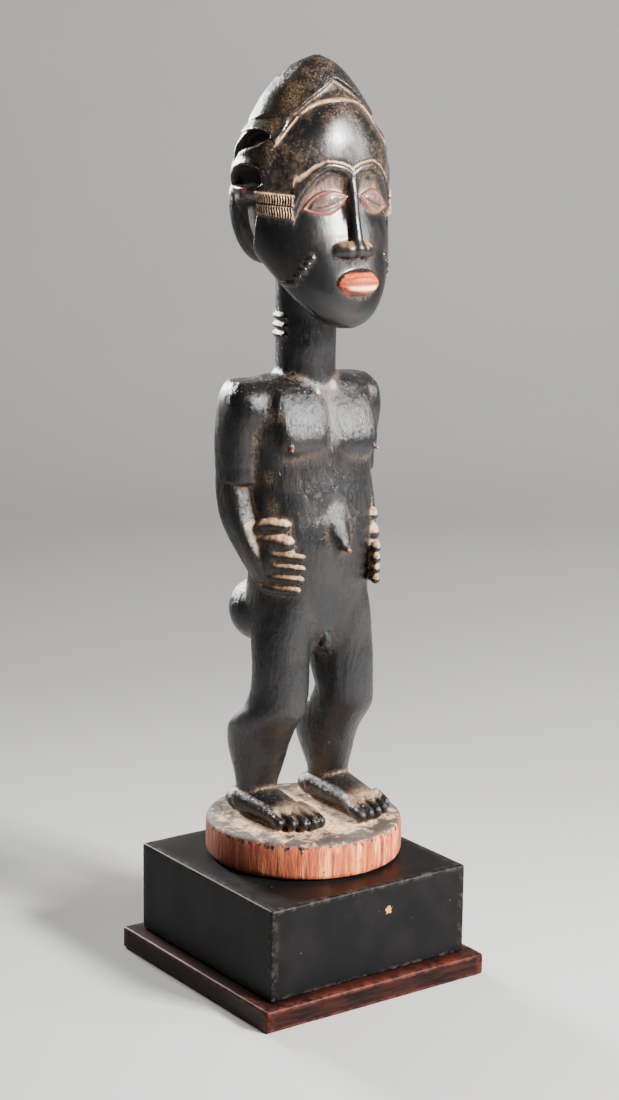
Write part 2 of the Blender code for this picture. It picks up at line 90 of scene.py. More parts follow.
def between(z, heights, values):
    """A smooth curve through the values that never overshoots them."""
    z, h, v = (np.asarray(a, float) for a in (z, heights, values))
    step = np.diff(h)
    slope = np.diff(v) / step
    tangent = np.zeros_like(v)
    same = slope[:-1] * slope[1:] > 0
    mean = 2 * slope[:-1] * slope[1:] / np.where(same, slope[:-1] + slope[1:], 1)
    tangent[1:-1] = np.where(same, mean, 0)
    tangent[0], tangent[-1] = slope[0], slope[-1]
    i = np.clip(np.searchsorted(h, z) - 1, 0, len(step) - 1)
    t = np.clip((z - h[i]) / step[i], 0, 1)
    a = (1 + 2 * t) * (1 - t) ** 2
    b = t * (1 - t) ** 2
    c = t * t * (3 - 2 * t)
    d = t * t * (t - 1)
    return a * v[i] + b * step[i] * tangent[i] + c * v[i + 1] + d * step[i] * tangent[i + 1]


def add_rings(form, rings):
    """Skins closed rings of equal length, one above the other, and caps both ends."""
    loops = [[form.verts.new(point) for point in ring] for ring in rings]
    sides = len(loops[0])
    for low, high in zip(loops[:-1], loops[1:]):
        for i in range(sides):
            j = (i + 1) % sides
            form.faces.new((low[i], low[j], high[j], high[i]))
    form.faces.new(loops[0][::-1])
    form.faces.new(loops[-1])


def ring(x, y, z, half_width, half_depth, power, sides=72):
    """One level section, an oval that a higher power makes squarer."""
    turn = np.linspace(0, 2 * math.pi, sides, endpoint=False)
    across, along = np.cos(turn), np.sin(turn)
    across = np.sign(across) * np.abs(across) ** (2 / power)
    along = np.sign(along) * np.abs(along) ** (2 / power)
    return [(x + half_width * u, y + half_depth * v, z) for u, v in zip(across, along)]


def column(form, stations, side=1, power=2.0):
    """Level sections that change smoothly: rows of height, x, front, back and half width."""
    table = np.array(stations, float)
    heights = table[:, 0]
    count = max(3, int((heights[-1] - heights[0]) / LEVEL_STEP) + 1)
    levels = np.linspace(heights[0], heights[-1], count)
    x, front, back, half = (between(levels, heights, values) for values in table.T[1:])
    rows = zip(side * x, (front + back) / 2, levels, half, (back - front) / 2)
    add_rings(form, [ring(*row, power) for row in rows])


def ball(form, centre, radii):
    place = Matrix.Translation(centre) @ Matrix.Diagonal((*radii, 1))
    bmesh.ops.create_icosphere(form, subdivisions=4, radius=1, matrix=place)


# Round ends of a bar: shift along it and width, both as shares of its radius
ROD_START = ((-0.95, 0.3), (-0.75, 0.66), (-0.4, 0.92))
ROD_END = ((0.4, 0.92), (0.75, 0.66), (0.95, 0.3))


def rod(form, points, radii, broad=1.0):
    """A round-ended bar through some points; broad widens its section level with the ground."""
    path = [Vector(p) for p in points]
    turns = [2 * math.pi * k / ROD_SIDES for k in range(ROD_SIDES)]
    rings = []
    for i, point in enumerate(path):
        along = (path[min(i + 1, len(path) - 1)] - path[max(i - 1, 0)]).normalized()
        across = along.cross(Vector((0, 0, 1)))
        across = across.normalized() if across.length > 1e-6 else Vector((1, 0, 0))
        up = across.cross(along).normalized()
        spokes = [across * math.cos(a) * broad + up * math.sin(a) for a in turns]
        before = ROD_START if i == 0 else ()
        after = ROD_END if i == len(path) - 1 else ()
        for shift, scale in (*before, (0.0, 1.0), *after):
            centre = point + along * shift * radii[i]
            rings.append([centre + spoke * radii[i] * scale for spoke in spokes])
    add_rings(form, rings)


def mirrored(form, *makers):
    """Makes the same things on both sides of the figure."""
    for make in makers:
        for side in (-1, 1):
            make(form, side)


# Rows are height, front, back and half width, from the lowest up.
HEAD = [
    (265.5, -33.5, -24, 5),
    (268.5, -37, -18, 12.5),
    (274, -38.6, -12, 19.5),
    (283, -39, -2, 26.5),
    (294, -38, 12, 32.5),
    (305, -36.6, 26, 37),
    (317, -34.5, 34, 39.5),
    (332, -33.6, 37, 40.3),
    (346, -33.4, 37.5, 40),
    (357, -32.4, 36.6, 37.6),
    (367, -29.8, 33.5, 33.4),
    (377, -25.4, 29.6, 27.6),
    (386, -20.3, 24.2, 21.3),
    (393, -15.2, 17.6, 15),
    (398, -9.6, 9.2, 8.5),
    (401, -3.4, 1.2, 1.6),
]
# From here on x stands after the height.
BACK_HAIR = [
    (293.5, 0, 18, 28, 13),
    (296, 0, 14.5, 33, 20.2),
    (303, 0, 12.5, 37, 26.9),
    (312, 0, 11.5, 39.5, 31),
    (322, 0, 10, 40.5, 33.4),
    (329, 0, 6, 40.5, 34.6),
    (333, 0, 1, 40, 35.4),
    (336.5, 0, -3, 38, 35.4),
]
NECK = [
    (222, 0, -11.5, 22.5, 16.4),
    (240, 0, -10.3, 22.2, 15.8),
    (262, 0, -10.6, 22.2, 15.8),
    (300, 0, -16, 22, 17.5),
]
TRUNK = [
    (90, 0, -10, 18, 24),
    (102, 0, -16.5, 23, 32.5),
    (116, 0, -20.5, 26, 34),
    (128, 0, -23.5, 27, 32.6),
    (138, 0, -25.2, 27, 32.4),
    (152, 0, -26, 27.5, 33.6),
    (172, 0, -23.5, 29, 34.6),
    (190, 0, -21.4, 30.5, 35.4),
    (203, 0, -20.6, 31, 37),
    (213, 0, -18, 30.6, 38.8),
    (222, 0, -15, 30, 39.5),
    (229.5, 0, -12.2, 27.5, 38.5),
    (235, 0, -8.5, 24.5, 34),
    (238, 0, -3, 20, 24),
]
# Heights here count from the nipple.
BREAST = [
    (-7, 15, -15, 0, 11),
    (-3.5, 15.2, -19.4, 0, 14),
    (0, 15.4, -21.8, 0, 15.8),
    (4, 15.4, -22, 0, 16.2),
    (11, 15.2, -20.6, 0, 16.4),
    (19, 15, -17.8, 0, 16.2),
    (27, 14.6, -13.4, 0, 15),
    (32, 14.4, -8, 1, 12),
]
UPPER_ARM = [
    (181.5, 35.4, 6, 24, 8.2),
    (184.5, 35.4, 1.4, 27.2, 10.8),
    (190, 35.6, 0.4, 28, 11.4),
    (206, 35.4, -2.5, 28.5, 12.2),
    (221, 34, -6.5, 28, 13),
    (230, 32.4, -5, 26.2, 13.4),
    (236, 30.4, 3, 23, 11.4),
]
ARM_END = [
    (181.8, 35.4, 3, 24.5, 9.8),
    (183.4, 35.4, 0.6, 26.8, 11.2),
    (190, 35.4, 0, 27.6, 11.4),
    (203, 35.4, 1.5, 26.5, 10.2),
]
FOREARM = [
    (129, 28.5, -6, 4, 3.5),
    (136, 31.4, -8.5, 7.5, 5.2),
    (144, 33.2, -7.5, 11.5, 7.2),
    (155, 34.8, -3.6, 18, 9.2),
    (166, 35.6, 0.6, 22.8, 10.6),
    (178, 35.6, 3.6, 25.4, 10.9),
    (186, 35.6, 6, 26, 10.4),
]
LEG = [
    (6, 23.8, 2, 26, 10.5),
    (15, 23.8, 2.5, 26, 10.7),
    (23, 23.2, 0, 29, 11.9),
    (30, 22.8, -2.5, 32.6, 13.2),
    (38, 22.5, -5, 35, 14.4),
    (45, 22.6, -8.5, 34.4, 15.2),
    (51, 23.2, -12.5, 29.5, 15.6),
    (57, 23, -17, 22.5, 15.6),
    (63, 22.2, -19.4, 16.5, 15),
    (72, 21.2, -20.2, 13.2, 14.6),
    (84, 21, -19.8, 12, 14.8),
    (97, 20.2, -19.2, 14, 15.2),
    (112, 18.4, -20.4, 16, 15),
    (124, 16.6, -20.6, 16, 13.5),
    (132, 15, -17, 10, 9),
]

# Rim of the hair dome: degrees from the front, and height
DOME_TURNS = (0, 6, 22, 40, 50, 58, 74, 93, 104, 125, 180)
DOME_HEIGHTS = (389.5, 388.4, 384.2, 378.8, 374.2, 371, 371.4, 370.2, 368.4, 368, 367)
DOME_STEP = 2.8

# Hairline: degrees from the front, and height
HAIRLINE_TURNS = (0, 17, 29, 40, 50, 57, 61, 65)
HAIRLINE_HEIGHTS = (379.6, 378.8, 377.6, 375.2, 371.2, 365.6, 360.8, 356.6)
HAIRLINE_RAISED = 0.9
HAIRLINE_WIDTH = 0.75

# Strip below the dome that ends in a pointed flap
FLAP_TURNS = (59, 64.7, 71.4, 78.8, 100, 125, 180)
FLAP_LOWS = (367, 357.6, 361.8, 363.7, 363.4, 361, 360)
FLAP_RAISED = 1.5

# Ledges of hair behind the temple: lowest and highest level, swell at the back and at the side
HAIR_LEDGES = ((349.5, 368.5, 2.2, 2.4), (331.5, 350.5, 2.4, 2.2))

# Hollows in the hair: degrees from the front, heights of the lower and upper edge; depth first
UPPER_HOLLOW = (
    (70, 80, 92, 103, 110, 116, 121),
    (360.5, 356.4, 355, 352.5, 348.5, 344.5, 343),
    (362, 363.4, 363.8, 362.6, 359.5, 354, 348),
)
MIDDLE_HOLLOW = (
    (73, 76, 84, 95, 104, 112, 118),
    (337.5, 336.2, 336, 335.8, 335.6, 335.4, 335),
    (341, 345.2, 346.6, 346.4, 345, 341.5, 337),
)
LOWER_HOLLOW = (
    (79, 84, 92, 103, 112, 119),
    (322, 311, 303, 299, 300, 305),
    (329.6, 329.8, 329.6, 328.6, 327.4, 325),
)
HAIR_HOLLOWS = ((6, *UPPER_HOLLOW), (6, *MIDDLE_HOLLOW), (5, *LOWER_HOLLOW))

# Band on the temple: degrees from the front, then lower edge, groove and upper edge there
TEMPLE_TURNS = (48.5, 78)
TEMPLE_LOWS = (320.6, 322.8)
TEMPLE_MIDDLES = (326.9, 328.4)
TEMPLE_HIGHS = (332.6, 334)
TEMPLE_RAISED = 1.7
TEMPLE_NOTCHES = 15

# Brow arch: distance from the middle of the face, and height of its lower edge
BROW_OUT = (0, 3, 7, 12.5, 18, 24, 27, 29.5)
BROW_HEIGHTS = (339, 342, 344.3, 345.3, 342.8, 336.2, 330.8, 323.5)
BROW_WIDTH = 3.2
BROW_RAISED = 1.1
SOCKET_DEPTH = 2.6
SOCKET_END = 29.5

# Eye: middle, how far both stand to the left, half length, half height, slant in degrees and bulge
EYE_OUT = 15.4
EYE_SIDE = 1.9
EYE_HEIGHT = 328.8
EYE_HALF_LENGTH = 11.2
EYE_HALF_HEIGHT = 5.6
EYE_SLANT = -17
EYE_BULGE = 2.4
EYE_RIM = 0.75
EYE_SLIT = 0.8

# Welts on the cheek: distance out, height and radius
WELTS = (
    (23.2, 301.6, 1.7), (24.8, 298.6, 1.3), (26.6, 295.8, 1.6), (28, 292.4, 1.1), (29, 288.4, 1.4)
)
WELT_RAISED = 0.8


def soft_step(value, start, end):
    """0 before start and 1 after end, with an eased rise between them."""
    t = np.clip((value - start) / (end - start), 0, 1)
    return t * t * (3 - 2 * t)


def window(value, start, end, soft):
    """1 between start and end, eased to 0 over a soft margin outside them."""
    rise = soft_step(value, start - soft, start + soft)
    return rise * (1 - soft_step(value, end - soft, end + soft))


def path_distance(u, v, path):
    """How far each point (u, v) lies from a path of straight pieces."""
    best = np.full(np.shape(u), 1e9)
    for (ua, va), (ub, vb) in zip(path[:-1], path[1:]):
        du, dv = ub - ua, vb - va
        t = np.clip(((u - ua) * du + (v - va) * dv) / (du * du + dv * dv), 0, 1)
        best = np.minimum(best, np.hypot(u - ua - t * du, v - va - t * dv))
    return best


def along_head(turn):
    """Degrees from the front as millimetres around the head."""
    return np.radians(turn) * HEAD_REACH


def hairline_distance(turn, z):
    path = [(along_head(t), h) for t, h in zip(HAIRLINE_TURNS, HAIRLINE_HEIGHTS)]
    return path_distance(along_head(turn), z, path)


def dome_relief(turn, z):
    """The step under the rim of the hair dome, the strip below it and the hairline's thin ridge."""
    rim = np.interp(turn, DOME_TURNS, DOME_HEIGHTS)
    step = -DOME_STEP * soft_step(z, rim + 0.5, rim - 0.4) * soft_step(z, rim - 17, rim - 3)
    low = np.interp(turn, FLAP_TURNS, FLAP_LOWS)
    inside = np.minimum(z - low, rim - z) * soft_step(turn, 58, 61)
    return step + FLAP_RAISED * soft_step(inside, 0, 0.9)


def pocket(turn, z, turns, lows, highs):
    """1 inside a crescent given by its lower and upper edge, easing to 0 at its border."""
    low = np.interp(turn, turns, lows)
    high = np.interp(turn, turns, highs)
    inside = np.minimum(z - low, high - z)
    sides = window(turn, turns[0], turns[-1], 1.2)
    return soft_step(inside, -0.3, 0.9) * sides


def temple_band(turn, z):
    """1 on the band across the temple, easing to 0 at its border."""
    low = np.interp(turn, TEMPLE_TURNS, TEMPLE_LOWS)
    high = np.interp(turn, TEMPLE_TURNS, TEMPLE_HIGHS)
    return window(turn, *TEMPLE_TURNS, 0.6) * window(z, low, high, 0.35)


def temple_notches(turn, z):
    """How deep the band is cut, 0 to 1: two rows of upright notches and the groove between."""
    low = np.interp(turn, TEMPLE_TURNS, TEMPLE_LOWS)
    middle = np.interp(turn, TEMPLE_TURNS, TEMPLE_MIDDLES)
    high = np.interp(turn, TEMPLE_TURNS, TEMPLE_HIGHS)
    start, end = TEMPLE_TURNS
    share = (turn - start) / (end - start) * TEMPLE_NOTCHES + 0.22 * np.sin(z * 0.9)
    notch = soft_step(np.abs(share % 1 - 0.5), 0.16, 0.36)
    rows = window(z, low - 1, middle - 0.7, 0.3) + window(z, middle + 0.7, high - 0.8, 0.3)
    groove = np.exp(-(((z - middle) / 0.4) ** 2))
    return temple_band(turn, z) * np.clip(notch * rows + groove, 0, 1)


def lobe_relief(turn, z):
    """Ledges of hair that swell behind the temple, with a hollow under each."""
    behind = soft_step(turn, 100, 107)
    beside = soft_step(turn, 62, 72) * (1 - behind)
    total = np.zeros_like(z)
    for low, high, at_back, at_side in HAIR_LEDGES:
        share = np.clip((z - low) / (high - low), 0, 1)
        total = total + (at_back * behind + at_side * beside) * np.sin(math.pi * share) ** 0.6
    for depth, turns, lows, highs in HAIR_HOLLOWS:
        total = total - depth * pocket(turn, z, turns, lows, highs)
    block = window(turn, 77.5, 101, 1) * window(z, 331.2, 335.6, 0.5)
    return total + 1.2 * block


def brow_line(x):
    """Height of the brow arch's lower edge across the face."""
    return between(x, BROW_OUT, BROW_HEIGHTS)


def below_brow(x, z):
    """How far a point lies below the lower edge of the brow arch."""
    slope = (brow_line(x + 0.2) - brow_line(x - 0.2)) / 0.4
    return (brow_line(x) - z) / np.sqrt(1 + slope**2)


def eye_place(x, z):
    """Distance along the eye and across it from its middle; x is signed."""
    slant = math.radians(EYE_SLANT)
    dx, dz = np.abs(x - EYE_SIDE) - EYE_OUT, z - EYE_HEIGHT
    return dx * math.cos(slant) + dz * math.sin(slant), dz * math.cos(slant) - dx * math.sin(slant)


def eye_shares(x, z):
    """Position in the eye: share of its half length, and depth inside its edge in half heights."""
    along, across = eye_place(x, z)
    along, across = along / EYE_HALF_LENGTH, across / EYE_HALF_HEIGHT
    return along, 1 - along**2 - np.abs(across)


def eye_relief(x, z):
    """An almond that slants down outwards."""
    along, depth = eye_shares(x, z)
    return EYE_BULGE * soft_step(depth, 0, 0.32) * np.sqrt(np.clip(1 - along**2, 0, 1))


def eye_rim(x, z):
    """1 along the almond's edge."""
    along, depth = eye_shares(x, z)
    return np.exp(-(((depth - 0.1) / 0.1) ** 2)) * (np.abs(along) < 1.02)


def eye_slit(x, z):
    """1 along the cut between the lids, which runs a little below the almond's axis."""
    along, across = eye_place(x, z)
    along = along / EYE_HALF_LENGTH
    line = -1.2 + 1.4 * along**2
    return np.exp(-(((across - line) / 0.42) ** 2)) * window(along, -0.72, 0.6, 0.1)


def welt_relief(x, z):
    total = np.zeros_like(z)
    for out, height, radius in WELTS:
        share = np.clip(1 - ((x - out) ** 2 + (z - height) ** 2) / radius**2, 0, 1)
        total = total + WELT_RAISED * np.sqrt(share)
    return total


def in_sockets(out):
    """1 as far out as the sockets reach, easing to 0 beside them."""
    return 1 - soft_step(out, SOCKET_END - 0.6, SOCKET_END + 0.6)


def socket_relief(x, z):
    """Brow arches over hollowed sockets with the eyes in them."""
    out = np.abs(x)
    below = below_brow(out, z)
    beside_nose = soft_step(out, 0.5, 6.5)
    fading = 1 - soft_step(z, 326, 312) ** 0.7
    hollow = SOCKET_DEPTH * beside_nose * soft_step(below, 0, 1.6) * fading
    brow = BROW_RAISED * window(below, -BROW_WIDTH, 0.1, 0.7)
    return in_sockets(out) * (brow - hollow) + eye_relief(x, z)


def small_relief(x, turn, z, in_front):
    """Carving too fine for the first skin."""
    out = np.abs(x)
    ridge = HAIRLINE_RAISED * np.exp(-((hairline_distance(turn, z) / HAIRLINE_WIDTH) ** 2))
    notches = -1.25 * temple_notches(turn, z)
    depth = eye_shares(x, z)[1]
    lid_crease = 0.35 * window(depth, 0.3, 0.42, 0.08)
    eye = EYE_RIM * eye_rim(x, z) - EYE_SLIT * eye_slit(x, z) - lid_crease
    over_brow = below_brow(out, z) + BROW_WIDTH + 0.9
    crease = -0.3 * in_sockets(out) * np.exp(-((over_brow / 0.5) ** 2))
    return ridge + notches + in_front * (eye + crease + welt_relief(out, z))


def head_rings():
    """The head and dome of hair as rings with their relief."""
    table = np.array(HEAD)
    heights = table[:, 0]
    levels = np.arange(heights[0], heights[-1] + HEAD_STEP / 2, HEAD_STEP)
    front, back, half = (between(levels, heights, values) for values in table.T[1:])
    middle, depth = (front + back) / 2, (back - front) / 2
    rings = []
    for i, z in enumerate(levels):
        flat = np.array(ring(0, middle[i], z, half[i], depth[i], HEAD_POWER, HEAD_SIDES))
        x, y = flat[:, 0], flat[:, 1] - HEAD_AXIS
        reach = np.hypot(x, y)
        turn = np.degrees(np.arctan2(np.abs(x), -y))
        height = np.full(HEAD_SIDES, z)
        out = dome_relief(turn, height) + lobe_relief(turn, height)
        out = out + TEMPLE_RAISED * temple_band(turn, height)
        out = out + np.where(y < 0, socket_relief(x, height), 0)
        grow = 1 + out * np.clip(reach / 12, 0, 1) / np.maximum(reach, 1e-6)
        rings.append([(px * g, HEAD_AXIS + py * g, z) for px, py, g in zip(x, y, grow)])
    return rings


def base_disc(form):
    """The round base with its edges eased."""
    x, y = -FIGURE_LEFT, -FIGURE_BACK
    top = FEET_SUNK
    levels = (
        (top - BASE_HEIGHT, BASE_RADIUS - BASE_EDGE),
        (top - BASE_HEIGHT + BASE_EDGE, BASE_RADIUS),
        (top - BASE_EDGE, BASE_RADIUS),
        (top, BASE_RADIUS - BASE_EDGE),
    )
    add_rings(form, [ring(x, y, z, r, r, 2, BASE_SIDES) for z, r in levels])


def buttock(form, side):
    ball(form, (side * 18.2, 18.4, 111), (17, 19.5, 17.6))


# Height of the nipple, by side
NIPPLE_HEIGHTS = {-1: 203, 1: 200.0}
NIPPLE_OUT = 27.4


def breast(form, side):
    """A broad plane that slopes down from the shoulder to the nipple, and turns in below it."""
    rows = [(NIPPLE_HEIGHTS[side] + row[0], *row[1:]) for row in BREAST]
    column(form, rows, side, CHEST_POWER)


def nipple(form, side):
    z = NIPPLE_HEIGHTS[side]
    rod(form, [(side * 25.6, -17.6, z + 1.6), (side * NIPPLE_OUT, -22, z)], (2.8, 0.8))


def belly_swell(form):
    """The soft swelling that carries the navel."""
    rod(form, [(0, -15, 166), (0.4, -21.6, 158.6), (0.7, -26.8, 153.8)], (11, 8.2, 5.2))


def navel(form):
    rod(form, [(0.5, -26.4, 155.6), (0.7, -30.6, 151.8), (0.8, -34.4, 149.6)], (4.8, 3, 1.2))


def thick_thigh(form):
    """The figure's left thigh is carved thicker towards the middle."""
    rod(form, [(13.6, 0.5, 116), (13.6, 2.5, 92), (18, 0, 68)], (12.6, 12.4, 11))


def member(form):
    rod(form, [(0, -12, 110), (0, -15.5, 97)], (4.6, 3.8))


# Fingers: height of the first, step down to the next, and how far out and forward each tip lies
FINGER_TOP = 147.4
FINGER_STEP = 5.9
FINGER_TIPS = ((24, -26.8), (24, -26.8), (24.4, -26), (25.4, -24.6))
FINGER_RADII = (3.1, 3, 2.8, 2.3)


def hand(form, side):
    """A flat hand laid on the side of the belly, thumb up, four fingers pointing forward."""
    ball(form, (side * 31, -6, 146), (5.6, 9, 13.5))
    palm = [(side * 32.6, -3, 154.6), (side * 29.6, -14, 154.6), (side * 27.6, -18.6, 153.6)]
    rod(form, palm, (4.6, 4.3, 3.6))
    thumb = [(side * 33.4, -5.5, 161.8), (side * 31.4, -12, 163.4), (side * 28.4, -17.4, 163)]
    rod(form, thumb, (3.6, 3.2, 2.7))
    for i, (out, front) in enumerate(FINGER_TIPS):
        z = FINGER_TOP - FINGER_STEP * i
        knuckle, middle = (side * 31.8, -5, z), (side * 30.8, -14, z)
        finger = [knuckle, middle, (side * 27.8, -20.6, z), (side * out, front, z)]
        rod(form, finger, FINGER_RADII)


# Toes by side: middle of the foot, spread, and how far each toe reaches, from the big one out
TOES = {
    -1: (24.2, 5.2, (34.4, 35.4, 34, 30.8, 26)),
    1: (21.4, 6.1, (39.6, 39, 37.4, 34.6, 28.6)),
}
TOE_WIDTHS = (0.78, 0.70, 0.68, 0.66, 0.66)
TOE_RADII = (3.9, 3.8, 3.7)


def foot(form, side):
    """A broad wedge with five toes."""
    middle, spread, reaches = TOES[side]
    ball(form, (side * 24, 23.5, 4.6), (10.8, 13, 6.8))
    longest = max(reaches)
    front = (side * (middle + 0.4), 20.0 - longest, 5.4)
    rod(form, [(side * 24, 16, 7.5), front], (10, 8), 1.36)
    for i, reach in enumerate(reaches):
        root = side * (middle + 0.80 * spread * (i - 2))
        x = side * (middle + spread * (i - 2))
        toe = [(root, 19.0 - longest, 8.4), (x, 10.0 - reach, 6.4), (x, 3.4 - reach, 4.6)]
        rod(form, toe, TOE_RADII, TOE_WIDTHS[i])


NOSE_BRIDGE = (
    (0, -30.4, 345),
    (0, -33.6, 334),
    (0, -35.4, 322),
    (0, -37.6, 310),
    (0, -38.8, 305.8),
)


def nose(form):
    rod(form, NOSE_BRIDGE, (3.4, 2.6, 2.6, 3.4, 4.3))
    for side in (-1, 1):
        rod(form, [(side * 4.6, -36.9, 305.4), (side * 9.2, -34.4, 304.9)], (4.5, 3.9))


MOUTH_SIDE = 1.2


def mouth(form):
    """Two full lips pushed forward."""
    ball(form, (MOUTH_SIDE, -34, 288.6), (13.8, 8.2, 8.2))
    shares = np.linspace(-1, 1, 15)
    for z, thick, drop in ((290.6, 1.9, 1.4), (286.2, 2.4, -2)):
        points = [(MOUTH_SIDE + 11.8 * u, 4.6 * u * u - 42.6, z - drop * u * u) for u in shares]
        rod(form, points, [thick * (1 - 0.62 * abs(u) ** 1.6) for u in shares])


def ear(form, side):
    ball(form, (side * 39.5, 6, 332), (2.6, 3.4, 3.4))


def nape_ridges(form):
    """Three thin welts around the back of the neck."""
    turns = np.radians(np.linspace(-12, 192, 17))
    for z in (259, 263.7, 268.4):
        points = [(16.0 * math.cos(a), 5.8 + 16.4 * math.sin(a), z) for a in turns]
        rod(form, points, [1.4] * len(points))


def limbs(form, side):
    column(form, UPPER_ARM, side, TRUNK_POWER)
    column(form, LEG, side, LEG_POWER)


def forearm(form, side):
    """The forearm's flat faces, and the upper arm's crisp end over it."""
    column(form, FOREARM, side, FOREARM_POWER)
    column(form, ARM_END, side, TRUNK_POWER)


def build_big_forms(form):
    base_disc(form)
    column(form, TRUNK, power=TRUNK_POWER)
    column(form, NECK)
    mirrored(form, limbs, buttock, breast)
    belly_swell(form)
    thick_thigh(form)


def build_fine_forms(form):
    add_rings(form, head_rings())
    column(form, BACK_HAIR, power=HAIR_POWER)
    navel(form)
    member(form)
    mirrored(form, nipple, forearm, hand, foot)
    nose(form)
    mouth(form)
    mirrored(form, ear)
    nape_ridges(form)


def link(name, form):
    mesh = bpy.data.meshes.new(name)
    form.to_mesh(mesh)
    form.free()
    piece = bpy.data.objects.new(name, mesh)
    bpy.context.scene.collection.objects.link(piece)
    return piece


def bake(piece):
    """Replaces the mesh by what its modifiers make of it."""
    bpy.context.view_layer.update()
    done = bpy.data.meshes.new_from_object(
        piece.evaluated_get(bpy.context.evaluated_depsgraph_get())
    )
    piece.modifiers.clear()
    piece.data = done


def remesh(piece, voxel, smoothing):
    """Makes one closed skin of everything in the piece and eases it."""
    change = piece.modifiers.new("One skin", "REMESH")
    change.mode = "VOXEL"
    change.voxel_size = voxel
    ease = piece.modifiers.new("Eased", "SMOOTH")
    ease.iterations = smoothing
    bake(piece)


def read(items, key, width=3, kind=float):
    """One row of numbers for each vertex or edge of a mesh."""
    values = np.empty(len(items) * width, kind)
    items.foreach_get(key, values)
    return values.reshape(-1, width)


def read_skin(mesh):
    """Places and normals of a mesh's vertices."""
    return read(mesh.vertices, "co"), read(mesh.vertices, "normal")


def write_points(mesh, points):
    mesh.vertices.foreach_set("co", points.ravel())
    mesh.update()


def averaged(values, edges, rounds):
    """Each vertex's value mixed with its neighbours', some times over."""
    count = np.bincount(edges.ravel(), minlength=len(values)).astype(float)
    flat = values.reshape(len(values), -1)
    for _ in range(rounds):
        total = np.stack(
            [
                np.bincount(edges[:, 0], flat[edges[:, 1], k], len(values))
                + np.bincount(edges[:, 1], flat[edges[:, 0], k], len(values))
                for k in range(flat.shape[1])
            ],
            1,
        )
        flat = (flat + total / np.maximum(count, 1)[:, None]) / 2
    return flat.reshape(values.shape)


# Large odd numbers that give each cell its own chance values
SCATTER_ACROSS = np.array([127.1, 311.7, 74.7])
SCATTER_STEP = 17.3
SCATTER_SCALE = 43758.5453


def facets(points, size, seed):
    """Small tilted planes side by side, as a blade leaves them; size is a cell's three sides."""
    scaled = points / np.array(size)
    home = np.floor(scaled)
    best = np.full(len(points), 1e9)
    value = np.zeros(len(points))
    for shift in np.ndindex(3, 3, 3):
        cell = home + np.array(shift) - 1
        key = (cell @ SCATTER_ACROSS)[:, None] + seed + np.arange(6) * SCATTER_STEP
        random = np.modf(np.abs(np.sin(key) * SCATTER_SCALE))[0]
        offset = scaled - cell - random[:, :3]
        distance = (offset**2).sum(1)
        tilt = (offset * (random[:, 3:] - 0.5)).sum(1) * 2
        nearer = distance < best
        best = np.where(nearer, distance, best)
        value = np.where(nearer, tilt, value)
    return value


def make_figure():
    """The carved man and his base."""
    form = bmesh.new()
    build_big_forms(form)
    figure = link("figure_skin", form)
    remesh(figure, ROUGH_VOXEL, ROUGH_SMOOTHING)
    form = bmesh.new()
    form.from_mesh(figure.data)
    build_fine_forms(form)
    form.to_mesh(figure.data)
    form.free()
    remesh(figure, FINE_VOXEL, FINE_SMOOTHING)
    split_faces(figure.data)
    carve_small_forms(figure.data)
    settle_dirt(figure.data)
    tool_marks(figure.data)
    thin = figure.modifiers.new("Fewer faces", "DECIMATE")
    thin.ratio = FIGURE_TRIANGLES / (2 * len(figure.data.polygons))
    bake(figure)
    paint_masks(figure.data)
    place = Matrix.Translation(Vector(FEET) * MM) @ Matrix.Scale(MM, 4)
    figure.data.transform(place)
    figure.data.shade_smooth()
    return figure


def head_place(points):
    """Reach, degrees from the front, and height of points around the head's axis."""
    x, y, z = points.T
    return np.hypot(x, y - HEAD_AXIS), np.degrees(np.arctan2(np.abs(x), HEAD_AXIS - y)), z


def split_faces(mesh):
    """Halves the faces where the head has its smallest carving."""
    reach, turn, z = head_place(read_skin(mesh)[0])
    near = (reach > HEAD_CORE) & (turn < 84) & (z > 282) & (z < 392)
    near &= (z < 350) | (np.abs(hairline_distance(turn, z)) < 4)
    form = bmesh.new()
    form.from_mesh(mesh)
    form.verts.ensure_lookup_table()
    for index in np.flatnonzero(near):
        form.verts[index].tag = True
    chosen = [edge for edge in form.edges if edge.verts[0].tag and edge.verts[1].tag]
    bmesh.ops.subdivide_edges(form, edges=chosen, cuts=1, use_grid_fill=True)
    form.to_mesh(mesh)
    form.free()
    mesh.update()


def carve_small_forms(mesh):
    """Adds the small relief of the head along the spokes of its axis."""
    points, _ = read_skin(mesh)
    reach, turn, z = head_place(points)
    x, y = points[:, 0], points[:, 1]
    on_head = window(z, 283, 390, 1.0) * (reach > HEAD_CORE)
    out = on_head * small_relief(x, turn, z, y < FACE_FRONT)
    spokes = np.stack([x, y - HEAD_AXIS, np.zeros_like(z)], 1) / np.maximum(reach, 1e-6)[:, None]
    write_points(mesh, points + spokes * out[:, None])


def settle_dirt(mesh):
    """Finds the narrow hollows and the broad ones, before the blade marks are added."""
    points, normals = read_skin(mesh)
    edges = read(mesh.edges, "vertices", 2, int)
    close = averaged(points, edges, 5)
    wide = averaged(close, edges, 30)
    broad = averaged(wide, edges, 70)
    at_hips = window(points[:, 2], 88, 128, 6)
    kept = 1 - 0.75 * at_hips
    write_mask(mesh, "recess", ((wide - close) * normals).sum(1) * 2.4 * kept)
    write_mask(mesh, "basin", ((broad - wide) * normals).sum(1) * 1.4 * kept)


def on_face(y, z):
    """1 on the smooth face and forehead."""
    return window(z, 266, 386, 5) * soft_step(y, 12, 0)


# Blade marks: depth, size of one mark and its chance seed
MARK_DEPTH = 0.12
MARK_SIZE = (1.8, 1.8, 6.5)
MARK_SEED = 3.1


